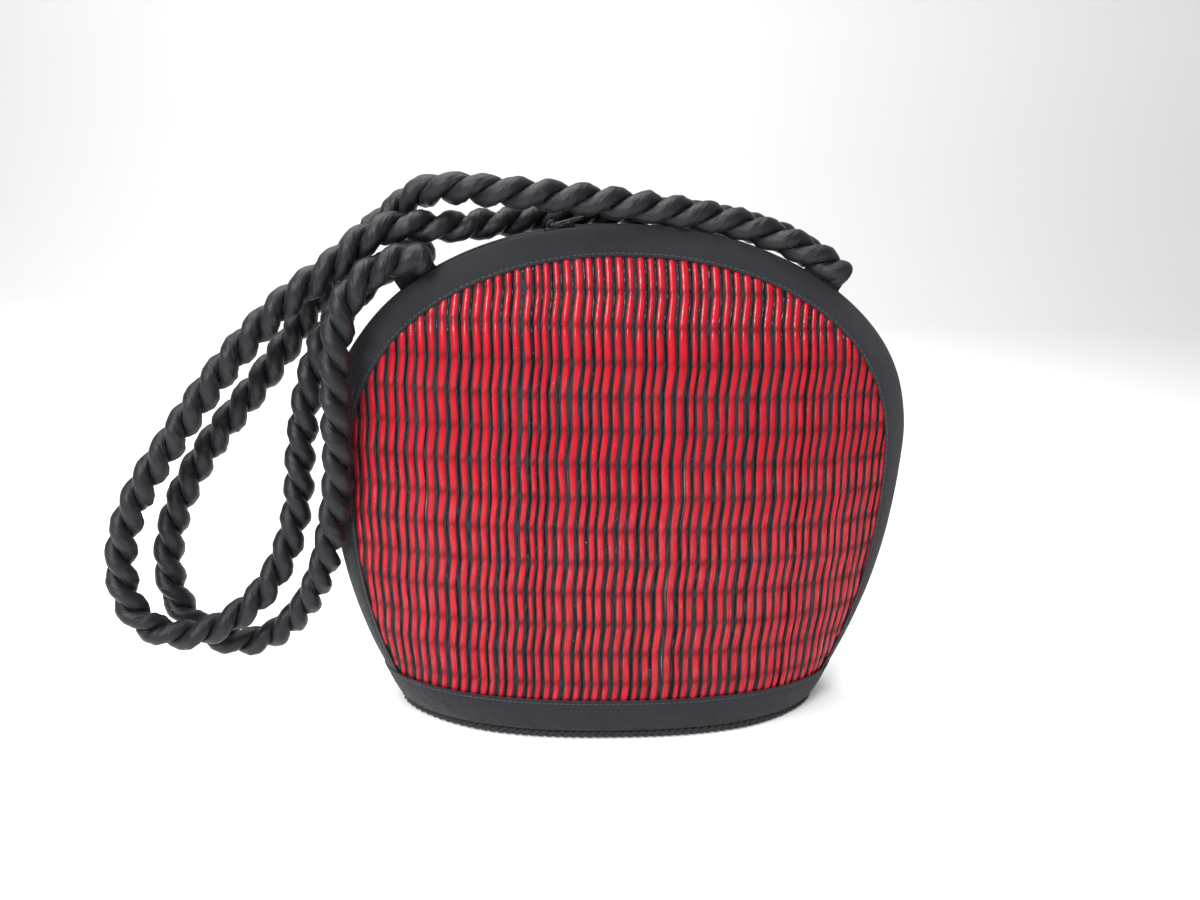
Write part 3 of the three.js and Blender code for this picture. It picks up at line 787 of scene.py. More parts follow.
def carried_frames(line, closed=False):
    """Directions along a line and two across it that turn with it and don't spin."""
    if closed:
        along = np.roll(line, -1, 0) - np.roll(line, 1, 0)
    else:
        along = np.gradient(line, axis=0)
    along /= np.linalg.norm(along, axis=1, keepdims=True)
    first = np.cross(along[0], (0, 0, 1.0) if closed else (0, 1.0, 0))
    across = [first / np.linalg.norm(first)]
    for direction in along[1:]:
        carried = across[-1] - direction * np.dot(across[-1], direction)
        across.append(carried / np.linalg.norm(carried))
    across = np.array(across)
    return along, across, np.cross(along, across)


def twisted_strand(line, run, diameter, strand, turns, start, sides, knots=(), wrinkle=0.0, seed=0):
    """Rows of points round one strand of a two-strand twist; at open ends the strands join in a knot."""
    closed = not knots
    _, across, up = carried_frames(line, closed)
    radius = np.full(len(line), (diameter - strand) / 2)
    size = np.full(len(line), strand / 2)
    if not closed:
        joined, knot_size = 0.3, diameter * 0.495
        left = np.minimum(run, run[-1] - run)
        knot = np.where(run < run[-1] / 2, *knots)
        apart = np.clip((left - joined * knot) / ((1 - joined) * knot), 0, 1)
        apart = apart * apart * (3 - 2 * apart)
        radius *= apart
        size += (knot_size - size) * (1 - apart)
        size *= np.sqrt(np.clip(1 - (1 - np.clip(left / (0.5 * diameter), 0, 1)) ** 2, 1e-4, 1))
    share = run / run[-1] if not closed else np.arange(len(line)) / len(line)
    angle = start - 2 * math.pi * turns * share
    radial = across * np.cos(angle)[:, None] + up * np.sin(angle)[:, None]
    middle = line + radial * radius[:, None]
    way = np.roll(middle, -1, 0) - np.roll(middle, 1, 0) if closed else np.gradient(middle, axis=0)
    way /= np.linalg.norm(way, axis=1, keepdims=True)
    out = radial - way * (radial * way).sum(1, keepdims=True)
    out /= np.linalg.norm(out, axis=1, keepdims=True)
    side = np.cross(way, out)
    round_angle = np.arange(sides) * 2 * math.pi / sides
    u, v = np.cos(round_angle), np.sin(round_angle)
    flat = (diameter / strand - 1) * 0.97
    squeezed = np.where(u < 0, 1 - (1 - flat) * (radius / radius.max())[:, None], 1.0)
    rows = middle[:, None] + size[:, None, None] * (
        out[:, None] * (u * squeezed)[..., None] + side[:, None] * v[:, None]
    )
    if wrinkle:
        rng = np.random.default_rng(seed)
        count, wrinkle_length = 9, 0.0021
        waves = rng.uniform(0.7, 2.6, count), rng.integers(1, 5, count), rng.uniform(0, 6.3, count)
        height = sum(
            np.sin(run[:, None] / wrinkle_length * w + k * round_angle + p) for w, k, p in zip(*waves)
        ) / count
        rows += (rows - middle[:, None]) * (height * wrinkle)[..., None]
    return rows


class PURSE_OT_ropes(bpy.types.Operator):
    """Twists the two satin rope handles along their routes"""

    bl_idname = "purse.ropes"
    bl_label = "Rope handles"

    def execute(self, context):
        ropes = sizes()["ropes"]
        satin = satin_material(tuple(ropes.satin))
        sides = 18
        for which, (end, route) in enumerate((("front", FRONT_ROUTE), ("back", BACK_ROUTE))):
            line, run = rope_line(route, ropes.past, (0, 0, -ropes.droop))
            turns = round(run[-1] / ropes.lay * 2) / 2
            piece = Piece(f"rope_handle_{end}")
            for strand in range(2):
                rows = twisted_strand(
                    line, run, ropes.diameter, ropes.strand, turns, math.pi * strand + 0.6 * which, sides,
                    knots=(ropes.first_knot, ropes.last_knot), wrinkle=0.12, seed=SEED + 2 * which + strand,
                )
                around = np.arange(sides + 1) * math.pi * ropes.strand / sides
                piece.grid(rows, around=True, uv=(run, around + 0.1 * strand))
            piece.close()
            rope = piece.finish([satin], "purse", [f"handle_{end}"])
        return {"FINISHED"}


# Reed mats


class Mat:
    """One wall's reeds while they are laid: its form, its threads and where its binding covers it."""

    # Heights from a thread, and from a reed's end, at which a reed gets a ring
    near_thread = np.array([-0.0050, -0.0026, -0.0011, -0.0003, 0.0003, 0.0011, 0.0026, 0.0050, 0.0075])
    near_end = np.array([0, 0.0003, 0.0008, 0.0015])
    end_room = 0.0018
    # Places across a reed, as shares of its half width
    across_reed = np.array([-1, -0.88, -0.52, 0, 0.52, 0.88, 1])
    # Half lengths of a thread's pinch, which also sets the reach of its painted shade, and of the sideways step
    # at it, and of a reed's rounded end
    pinch_reach, step_reach, end_reach = 0.0020, 0.0035, 0.0015
    # Over how far a reed sinks where it goes in under the binding
    cover_reach = 0.0008
    # How far a reed's edges lie off the wall's middle
    seat = 0.00015
    # More threads than the tallest wall has
    most_threads = 14

    def __init__(self, piece, form, side, sizes, rng):
        self.piece, self.form, self.side, self.sizes, self.rng = piece, form, side, sizes, rng
        threads = sizes.thread_top - sizes.thread_pitch * np.arange(self.most_threads)
        self.threads = threads[threads > BAND_TOP]
        x, z, in_x, in_z, _ = form.rim(401)
        reach = form.body.binding_reach - 0.0006
        x_in, z_in = (grid[:, 0] for grid in form.inward(x, z, in_x, in_z, side, [reach]))
        order = np.argsort(x_in)
        arched = order[z_in[order] > form.body.widest_height]
        half = len(x_in) // 2
        rising = np.argsort(z_in[:half])
        self.arch_line = x_in[arched], z_in[arched]
        self.side_line = z_in[:half][rising], x_in[:half][rising]

    def top_limit(self, x):
        """The height at which the binding covers the mat."""
        return np.interp(x, *self.arch_line)

    def side_limit(self, z):
        """How far from the middle the binding covers the mat at a height."""
        return np.interp(z, *self.side_line)

    def from_thread(self, z):
        """Distance from the nearest thread."""
        return np.abs(z[:, None] - self.threads).min(1)

    def ring_heights(self, low, high):
        """Heights at which a reed gets a ring: close at its rounded ends and at each thread."""
        marks = np.concatenate([thread + self.near_thread for thread in self.threads])
        marks = marks[(marks > low + self.end_room) & (marks < high - self.end_room)]
        return np.unique(np.concatenate([low + self.near_end, marks, high - self.near_end]))

    def sideways(self, z):
        """Sideways run of the reeds at a height: one way in a band, back in the next, a step between."""
        band = (self.sizes.thread_top - z) / self.sizes.thread_pitch
        index = np.floor(band)
        share = band - index
        run = 0.5 * np.cos(math.pi * share) * np.where(index % 2 == 0, 1, -1) * self.sizes.slant
        step = self.sizes.jump * np.where(share > 0.5, -1, 1)
        return run + step * bell(self.from_thread(z), self.step_reach)

    def span(self, place, width):
        """The lowest and highest point of a reed, or none where only a stub would be left."""
        heights = np.linspace(BAND_TOP - 0.002, self.form.top, 500)
        x = np.abs(self.form.across(np.full((len(heights), 1), place), heights)[:, 0])
        nearest = np.maximum(x - width * 0.6, 0)
        shows = (nearest < self.side_limit(heights)) & (heights < self.top_limit(nearest))
        shown = heights[shows & (x < self.form.half_width(heights) - 0.006)]
        return (shown.min(), shown.max()) if len(shown) >= 8 else None

    def lay(self, place, width, crown, dye, tone, bare=()):
        """One reed from the base band to the binding, rounded at its ends, pinched at each thread."""
        span = self.span(place, width)
        if span is None:
            return
        low, high = span
        z = self.ring_heights(low, high)
        # How hard each thread pinches the reed; the material also darkens the colour by the same amount as
        # painted shade
        pinch = bell(self.from_thread(z), self.pinch_reach) * self.rng.uniform(0.5, 1.25)
        ends = np.minimum(z - low, high - z)
        rounded = np.sqrt(np.clip(1 - (1 - np.clip(ends / self.end_reach, 0, 1)) ** 2, 0.0, 1))
        threads = np.sort(self.threads)
        shift = np.interp(z, threads, self.rng.normal(0, 0.00014, len(threads)))
        swell = 1 + np.interp(z, threads, self.rng.normal(0, 0.045, len(threads)))
        half = width / 2 * swell * (1 - 0.12 * pinch) * (0.45 + 0.55 * rounded)
        rise = crown * swell * (1 - 0.13 * pinch) * (0.12 + 0.88 * rounded)
        u = self.across_reed
        middle = place + self.sideways(z) + shift
        x = self.form.across(middle[:, None] + half[:, None] * u, z)
        way = self.seat + rise[:, None] * np.sqrt(1 - u ** 2) ** 0.9
        past = np.maximum(np.abs(x) - self.side_limit(z)[:, None], z[:, None] - self.top_limit(np.abs(x)))
        covered = np.clip(past / self.cover_reach + 0.5, 0, 1)
        way += (np.minimum(way, self.sizes.covered_crown) - way) * covered
        points = self.form.offset(x, z[:, None] + 0 * x, self.side, way)
        shape = points.shape[:2]
        streak = sum((bell(z - height, half_length) for height, half_length in bare), 0 * z)
        numbers = {
            "dye": np.full(shape, dye),
            "tone": np.full(shape, tone) + 0.10 * swell[:, None] - 0.1,
            "pinch": pinch[:, None] * np.ones(shape),
            "bare": np.minimum(streak, 1)[:, None] * (u > 0.2),
        }
        self.piece.grid(points, around=True, numbers=numbers)


class PURSE_OT_mats(bpy.types.Operator):
    """Lays the red and black reeds of both walls over their dark backing"""

    bl_idname = "purse.mats"
    bl_label = "Reed mats"

    # Places along the front mat and heights of the streaks that took no dye, and their half lengths
    bare_streaks = (
        (-0.0905, 0.112, 0.006), (-0.0918, 0.089, 0.005), (-0.0300, 0.128, 0.008), (0.0199, 0.0755, 0.008),
        (0.0205, 0.040, 0.006), (0.0235, 0.125, 0.014), (0.0750, 0.083, 0.006), (0.0761, 0.058, 0.006),
        (0.0965, 0.036, 0.007),
    )
    # How far the reeds go to each side, measured round the wall
    mat_reach = 0.152
    # The smallest and largest share of a pair that its red reed takes
    least_red, most_red = 0.6, 0.74
    backing_thickness = 0.0009

    def backing(self, piece, form, side):
        """The plain dark sheet behind the reeds."""
        x, z, in_x, in_z, _ = form.rim(141)
        inner_x, inner_z = form.inward(x, z, in_x, in_z, side, [0.0015, 0.006, 0.012])
        shares = np.linspace(1, 0.01, 26)[1:]
        fan_x = inner_x[:, -1:] * shares
        fan_z = MAT_BOTTOM + (inner_z[:, -1:] - MAT_BOTTOM) * shares
        all_x, all_z = np.concatenate([inner_x, fan_x], 1), np.concatenate([inner_z, fan_z], 1)
        all_z = np.maximum(all_z, MAT_BOTTOM)
        piece.grid(form.offset(all_x, all_z, side, np.full(all_x.shape, 0.0001)), slot=1)
        bmesh.ops.solidify(piece.bm, geom=piece.bm.faces[:], thickness=self.backing_thickness)
        bmesh.ops.recalc_face_normals(piece.bm, faces=piece.bm.faces)
        for face in piece.bm.faces:
            face.material_index = 1
            face.smooth = True

    def lay_pair(self, mat, place):
        """Lays a red and a black reed side by side and gives the room that they take."""
        sizes, rng = mat.sizes, mat.rng
        pitch = sizes.pair_pitch * rng.normal(1, 0.085)
        red = pitch * min(max(rng.normal(sizes.red_share, 0.035), self.least_red), self.most_red)
        black = pitch - red
        crown, tone = sizes.red_crown * rng.normal(1, 0.06), rng.uniform(0.35, 1.0)
        mat.lay(place + red / 2, red * 1.04, crown, 1.0, tone)
        middle = place + red + black / 2
        bare = [s[1:] for s in self.bare_streaks if mat.side < 0 and abs(middle - s[0]) < pitch / 2]
        crown, tone = sizes.black_crown * rng.normal(1, 0.1), rng.uniform(0.0, 1.0)
        mat.lay(middle, black * 1.02, crown, 0.0, tone, bare)
        return pitch

    def execute(self, context):
        groups = sizes()
        reeds = groups["reeds"]
        form = MatForm(groups["body"])
        materials = [reed_material(reeds), backing_material(reeds)]
        for end, side in WALLS:
            piece = Piece(f"reed_mat_{end}")
            self.backing(piece, form, side)
            mat = Mat(piece, form, side, reeds, np.random.default_rng(SEED + side))
            place = -self.mat_reach
            while place < self.mat_reach:
                place += self.lay_pair(mat, place)
            piece.close()
            piece.finish(materials, "purse", [f"{end}_panel"])
        return {"FINISHED"}


# Bindings


class PURSE_OT_bindings(bpy.types.Operator):
    """Folds the cloth bindings round the mats' edges and stitches them down"""

    bl_idname = "purse.bindings"
    bl_label = "Edge bindings"

    # Ways in from the mat's edge and heights above its middle, in millimetres, from the sewn edge out
    outer_face = (
        (12.2, 1.42), (13.0, 1.5), (13.25, 1.8), (13.0, 2.08), (12.4, 2.1), (11.9, 1.86), (11.4, 2.1),
        (10.2, 2.36), (8.0, 2.5), (5.5, 2.5), (3.0, 2.44), (1.2, 2.36), (0.0, 2.28),
    )
    inner_face = (
        (0.0, -2.2), (3.0, -2.25), (8.0, -2.25), (11.5, -2.2), (12.8, -2.1), (13.0, -1.6), (12.2, -1.4),
    )
    # The cloth's own inner side, against the mat
    against_mat = ((6.0, -1.35), (0.2, -1.35), (0.2, 1.35), (6.0, 1.35))
    # The line of stitches: its way in from the edge and its height above the mat's middle
    seam_reach, seam_height = 0.0119, 0.00198
    # Ways past the mat's edge and heights, round the outer edge
    turned_edge = ((0.62, 2.05), (1.05, 1.35), (1.28, 0.45), (1.28, -0.45), (1.05, -1.35), (0.62, -2.0))

    def execute(self, context):
        groups = sizes()
        cloth = groups["cloth"]
        form = MatForm(groups["body"])
        materials = [
            cloth_material("black_cotton_binding", tuple(cloth.cloth), cloth.weave_pitch),
            thread_material("binding_thread", tuple(cloth.thread)),
        ]
        for end, side in WALLS:
            piece = Piece(f"{end}_edge_binding")
            self.channel(piece, form, side)
            piece.close()
            self.seam(piece, form, side, cloth)
            piece.finish(materials, "purse", [f"{end}_binding"])
        return {"FINISHED"}

    def channel(self, piece, form, side):
        """The folded cloth, puckered a little at its stitches."""
        stations = 761
        x, z, in_x, in_z, run = form.rim(stations)
        rng = np.random.default_rng(SEED + side)
        pucker = 0.00016 * ripples(run, rng, 7, 0.0009, 0.0030)
        swell = 0.00012 * ripples(run, rng, 5, 0.006, 0.02)

        def line(reach, height, uneven):
            reach = reach / 1000
            way = np.full(stations, height / 1000)
            if uneven:
                way = way + pucker * bell(reach - 0.0112, 0.0024) + swell * bell(reach - 0.006, 0.005)
            at_x, at_z = (grid[:, 0] for grid in form.inward(x, z, in_x, in_z, side, [reach]))
            return self.cut_level(form, at_x, at_z, side, way)

        edge_x, edge_z = form.inward(x, z, in_x, in_z, side, [0.0, 0.006])
        edge, normal = form.points(edge_x[:, 0], edge_z[:, 0], side)
        out = edge - form.points(edge_x[:, 1], edge_z[:, 1], side)[0]
        out /= np.linalg.norm(out, axis=1, keepdims=True)
        columns = [line(reach, height, True) for reach, height in self.outer_face]
        for reach, height in self.turned_edge:
            columns.append(edge + normal * (height / 1000) + out * (reach / 1000))
        for reach, height in (*self.inner_face, *self.against_mat):
            columns.append(line(reach, height, False))
        points = np.stack(columns, 1)
        points[..., 2] = np.maximum(points[..., 2], MAT_BOTTOM)
        steps = np.linalg.norm(np.diff(points[stations // 2], axis=0), axis=1)
        widths = np.concatenate([[0], np.cumsum(steps), [0.06]])
        piece.grid(points, around=True, uv=(run, widths))

    @staticmethod
    def cut_level(form, x, z, side, way):
        """Points off a mat, level with its foot where it is cut."""
        points, normals = form.points(x, z, side)
        level = normals * (1, 1, 0)
        square = (level ** 2).sum(-1, keepdims=True)
        low = (z <= MAT_BOTTOM)[:, None]
        return points + np.where(low, level / square, normals) * way[:, None]

    def seam(self, piece, form, side, cloth):
        """The line of stitches along the binding's inner edge."""
        x, z, in_x, in_z, _ = form.rim(2001)
        at_x, at_z = (grid[:, 0] for grid in form.inward(x, z, in_x, in_z, side, [self.seam_reach]))
        line, normal = form.points(at_x, at_z, side)
        line = line + normal * self.seam_height
        travelled = np.concatenate([[0], np.cumsum(np.linalg.norm(np.diff(line, axis=0), axis=1))])
        places = np.arange(cloth.stitch_pitch, travelled[-1] - cloth.stitch_pitch, cloth.stitch_pitch)
        pick = np.searchsorted(travelled, places)
        pick = pick[line[pick, 2] > BAND_TOP]
        along = line[pick + 1] - line[pick - 1]
        along /= np.linalg.norm(along, axis=1, keepdims=True)
        piece.stitches(line[pick], along, normal[pick], cloth.stitch_length, cloth.stitch_width, 1)


# Base


class PURSE_OT_base(bpy.types.Operator):
    """Makes the covered base board, the cloth band and the twisted trim round it"""

    bl_idname = "purse.base"
    bl_label = "Base, band and trim"

    # Heights as shares of the band's height, and ways outside the mats' middle in millimetres
    band_section = (
        (0.0, 3.3), (0.03, 3.55), (0.2, 3.66), (0.45, 3.72), (0.7, 3.68), (0.84, 3.6), (0.89, 3.42),
        (0.93, 3.56), (0.98, 3.44), (1.0, 3.15), (0.99, 2.8), (0.95, 2.68), (0.6, 2.66), (0.0, 2.66),
    )
    # Which of them the stitches lie on
    seam_row = 6
    # One strand of the trim, as a share of the trim's diameter
    trim_strand = 0.52
    # The trim tucks in towards both sides: from this share of its half width, over this share, by this much
    tuck_from, tuck_over, tuck = 0.60, 0.25, 0.42
    # Ways in from the board's edge of the groove on its underside, its width and depth, and its rim's rounding
    groove_reach, groove_width, groove_depth, board_round = 0.006, 0.0006, 0.0002, 0.0007
    # The sewn line under the board, as shares of its outline along and across
    under_seam = (0.955, 0.89, 1)

    def execute(self, context):
        groups = sizes()
        cloth = groups["cloth"]
        form = MatForm(groups["body"])
        cotton = cloth_material("black_cotton_band", tuple(cloth.cloth), cloth.weave_pitch)
        thread = thread_material("band_thread", tuple(cloth.thread))
        self.band(form, cloth, cotton, thread)
        self.trim(form, cloth)
        self.board(form, cloth, thread)
        return {"FINISHED"}

    def ring(self, form, share, way, count):
        """Evenly counted points round the base at a share of the band's height."""
        z = MAT_BOTTOM + (BAND_TOP - MAT_BOTTOM) * share
        return even_ring(form.foot_oval(z, way, 181), count)

    def band(self, form, cloth, cotton, thread):
        """The band, drawn in over the reeds, fuller where it turns the corner at each side."""
        count = 480
        piece = Piece("base_cloth_band")
        columns = []
        outer, round_length = self.ring(form, 0.5, form.band_outside, count)
        side = bell(1 - np.abs(outer[:, 0]) / np.abs(outer[:, 0]).max(), 0.028)
        rng = np.random.default_rng(SEED)
        run = np.arange(count) / count * round_length
        turns = 2 * math.pi * run / round_length
        waves = 9
        creases = sum(
            np.sin(k * turns + p) for k, p in zip(rng.integers(20, 90, waves), rng.uniform(0, 6.3, waves))
        ) / waves
        for share, way in self.band_section:
            ring, _ = self.ring(form, share, way / 1000, count)
            level = ring * (1, 1, 0) - np.roll(ring, 1, 0) * (1, 1, 0)
            out = np.stack([level[:, 1], -level[:, 0], 0 * level[:, 0]], 1)
            out /= np.linalg.norm(out, axis=1, keepdims=True)
            flat = 1 - bell(1 - np.abs(ring[:, 0]) / form.half, 0.2)
            inward = np.clip(0.0011 * max(share - 0.45, 0) / 0.55 * flat, 0, 0.0009)
            corner = side * max(share - 0.8, 0) / 0.2
            ring = ring + out * (0.0004 * corner - inward + 0.00012 * creases * (share > 0))[:, None]
            ring[:, 2] += 0.0003 * corner + 0.00015 * creases * share
            columns.append(ring)
        points = np.stack(columns, 1)
        steps = np.linalg.norm(np.diff(points[0], axis=0), axis=1)
        widths = np.concatenate([[0], np.cumsum(steps), [0.05]])
        piece.grid(points, around=True, along=True, uv=(np.append(run, round_length), widths))
        piece.close()
        self.sew(piece, points[:, self.seam_row], cloth)
        piece.finish([cotton, thread], "purse", ["base_band"])

    @staticmethod
    def sew(piece, line, cloth):
        """A closed line of stitches on a ring."""
        even, along = stitched_ring(line, cloth.stitch_pitch)
        out = np.cross(along, (0, 0, 1.0))
        out /= np.linalg.norm(out, axis=1, keepdims=True)
        piece.stitches(even + out * 0.00012, along, out, cloth.stitch_length, cloth.stitch_width, 1)

    def trim(self, form, cloth):
        """The two-strand trim sewn round the foot of the band."""
        way = form.band_outside + cloth.trim_proud - cloth.trim_diameter / 2
        line, around = even_ring(form.foot_oval(MAT_BOTTOM, way, 181), 900)
        line[:, 2] = PLATE_TOP / 2
        turns = round(around / cloth.trim_lay)
        run = np.arange(len(line)) / len(line) * around
        level = np.roll(line, -1, 0) - np.roll(line, 1, 0)
        out = np.stack([level[:, 1], -level[:, 0], 0 * level[:, 0]], 1)
        out /= np.linalg.norm(out, axis=1, keepdims=True)
        inner = (line - out * cloth.trim_diameter / 2)[:, None]
        sideways = np.abs(line[:, 0]) / np.abs(line[:, 0]).max()
        hidden = np.clip((sideways - self.tuck_from) / self.tuck_over, 0, 1)[:, None, None]
        kept = 1 - self.tuck * hidden * (1, 1, 0)
        sides, strand_size = 8, cloth.trim_diameter * self.trim_strand
        piece = Piece("base_twisted_trim")
        for strand in range(2):
            rows = twisted_strand(
                line, run, cloth.trim_diameter, strand_size, turns, math.pi * strand, sides,
            )
            rows = inner + (rows - inner) * kept
            uv = (np.append(run, around), np.arange(sides + 1) * 0.0008)
            piece.grid(rows, around=True, along=True, uv=uv)
        piece.close()
        cord = cloth_material("black_trim_cord", tuple(cloth.cloth), 0.0005, 0.7, 0.0001)
        piece.finish([cord], "purse", ["base_trim"])

    def board(self, form, cloth, thread):
        """The board under the bag, covered in cloth, with a sewn line under its rim."""
        piece = Piece("base_covered_board")
        bm = piece.bm
        uv_layer = bm.loops.layers.uv.verify()
        way = form.band_outside + cloth.trim_proud - cloth.trim_diameter - form.body.clearance
        outline, _ = even_ring(form.foot_oval(MAT_BOTTOM, way, 181), 200)
        corners = [bm.verts.new((x, y, 0)) for x, y, _ in outline]
        under = bm.faces.new(corners)
        bmesh.ops.inset_region(bm, faces=[under], thickness=self.groove_reach)
        groove = bmesh.ops.inset_region(bm, faces=[under], thickness=self.groove_width)["faces"]
        sunk = {v for face in groove for v in face.verts} & set(under.verts)
        bmesh.ops.translate(bm, verts=list(sunk), vec=(0, 0, self.groove_depth))
        walls = bmesh.ops.extrude_edge_only(bm, edges=[e for e in bm.edges if e.is_boundary])["geom"]
        raised = [v for v in walls if isinstance(v, bmesh.types.BMVert)]
        bmesh.ops.translate(bm, verts=raised, vec=(0, 0, PLATE_TOP))
        bmesh.ops.holes_fill(bm, edges=[e for e in bm.edges if e.is_boundary], sides=0)
        bmesh.ops.recalc_face_normals(bm, faces=bm.faces)
        rims = [e for e in bm.edges if len(e.link_faces) == 2 and e.calc_face_angle() > 1.2]
        bmesh.ops.bevel(
            bm, geom=rims, offset=self.board_round, offset_type="OFFSET", segments=3, profile=0.5,
            affect="EDGES", material=-1,
        )
        for face in bm.faces:
            for loop in face.loops:
                loop[uv_layer].uv = loop.vert.co.xy
        inner, _ = even_ring(outline * self.under_seam, 400)
        inner[:, 2] = 0.0001
        even, along = stitched_ring(inner, cloth.stitch_pitch)
        down = np.tile((0, 0, -1.0), (len(even), 1))
        piece.stitches(even, along, down, cloth.stitch_length, 0.0003, 1)
        cover = cloth_material("black_cotton_cover", tuple(cloth.cloth), cloth.weave_pitch)
        piece.finish([cover, thread], "purse", ["base_plate"], sharp=0.9)


# Zip


class PURSE_OT_zip(bpy.types.Operator):
    """Makes the zip's tapes, its two rows of teeth, the slider and the pull"""

    bl_idname = "purse.zip"
    bl_label = "Zip"

    # Thickness of a tooth, as a share of the pitch
    tooth_share = 0.40

    def execute(self, context):
        groups = sizes()
        form = MatForm(groups["body"])
        sizes_zip = groups["zip"]
        left, right = (corner.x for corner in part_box("zip_chain"))
        self.tapes(form, sizes_zip, (right, left))
        self.teeth(form, sizes_zip, (right, left))
        enamel = enamel_material(tuple(sizes_zip.enamel))
        self.rounded_copy("zip_slider", "zip_slider_cast", 0.00022, enamel, "purse")
        self.rounded_copy("zip_pull", "zip_pull_leaf", 0.00030, enamel, "pull")
        return {"FINISHED"}

    @staticmethod
    def along_arch(form, ends, count):
        """Evenly spaced places along the top edge between two ends, with their run."""
        x = np.linspace(*ends, 801)
        edge = form.arch(x)[0]
        run = np.concatenate([[0], np.cumsum(np.linalg.norm(np.diff(edge, axis=0), axis=1))])
        even = np.linspace(0, run[-1], count)
        return form.arch(np.interp(even, run, x)), even

    def tapes(self, form, sizes_zip, ends):
        """Woven tapes beside the teeth, with a rounded upper edge and a shallow groove below it."""
        woven = cloth_material("black_zip_tape", tuple(sizes_zip.tape), 0.0007, 0.88, 0.00012)
        (edge, out, _), run = self.along_arch(form, ends, 161)
        inside = sizes_zip.chain_width / 2 + form.body.clearance
        thick = sizes_zip.tape_thickness
        high, low = -sizes_zip.tape_sink, -sizes_zip.tape_sink - sizes_zip.tape_drop
        section = (
            (0.1, high - 0.0003), (0.3, high), (0.7, high), (0.9, high - 0.0003), (1.0, high - 0.002),
            (0.92, high - 0.004), (1.0, high - 0.006), (0.9, low), (0.1, low), (0.0, high - 0.006),
        )
        for end, side in WALLS:
            piece = Piece(f"zip_tape_weave_{end}")
            columns = []
            for share, way in section:
                column = edge + out * way
                column[:, 1] = side * (inside + thick * share)
                columns.append(column)
            uv = (run, np.linspace(0, 0.026, len(section) + 1))
            piece.grid(np.stack(columns, 1), around=True, uv=uv)
            piece.close()
            piece.finish([woven], "purse", [f"zip_tape_{end}"])

    def teeth(self, form, sizes_zip, ends):
        """Rounded bars from both sides that mesh along the middle."""
        piece = Piece("zip_teeth")
        total = self.along_arch(form, ends, 2)[1][-1]
        count = round(total / sizes_zip.tooth_pitch) * 2
        (edge, out, right), _ = self.along_arch(form, ends, count + 1)
        thick = sizes_zip.tooth_pitch * self.tooth_share
        half = sizes_zip.chain_width / 2
        long, off_middle = half * 1.12, half * 0.42
        for index in range(1, count):
            side = 1 if index % 2 else -1
            centre = edge[index] - out[index] * (sizes_zip.chain_sink + sizes_zip.chain_height / 2)
            centre[1] = side * off_middle
            axes = np.stack(
                [right[index] * thick, np.array([0, long, 0]), out[index] * sizes_zip.chain_height], 1
            )
            matrix = Matrix.Translation(Vector(centre)) @ Matrix([[*row] for row in axes]).to_4x4()
            made = bmesh.ops.create_cube(piece.bm, size=1, matrix=matrix)["verts"]
            edges = list({e for v in made for e in v.link_edges})
            bmesh.ops.bevel(
                piece.bm, geom=edges, offset=thick * 0.28, offset_type="OFFSET", segments=1, profile=0.5,
                affect="EDGES", material=-1,
            )
        bmesh.ops.recalc_face_normals(piece.bm, faces=piece.bm.faces)
        for face in piece.bm.faces:
            face.smooth = True
        piece.finish([teeth_material(tuple(sizes_zip.teeth))], "purse", ["zip_chain"], sharp=1.2)

    @staticmethod
    def rounded_copy(node, name, width, material, body):
        """A metal piece of the frame with its sharp edges rounded."""
        piece = Piece(name)
        piece.bm.from_mesh(frame["nodes"][node].data)
        bmesh.ops.remove_doubles(piece.bm, verts=piece.bm.verts, dist=1e-6)
        bmesh.ops.dissolve_limit(
            piece.bm, angle_limit=math.radians(3), verts=piece.bm.verts, edges=piece.bm.edges
        )
        sharp = [e for e in piece.bm.edges if len(e.link_faces) == 2 and e.calc_face_angle() > 0.6]
        bmesh.ops.bevel(
            piece.bm, geom=sharp, offset=width, offset_type="OFFSET", segments=3, profile=0.5,
            affect="EDGES", clamp_overlap=True, material=-1,
        )
        for face in piece.bm.faces:
            face.smooth = True
            face.material_index = 0
        piece.finish([material], body, [node], sharp=0.7)


# Tabs


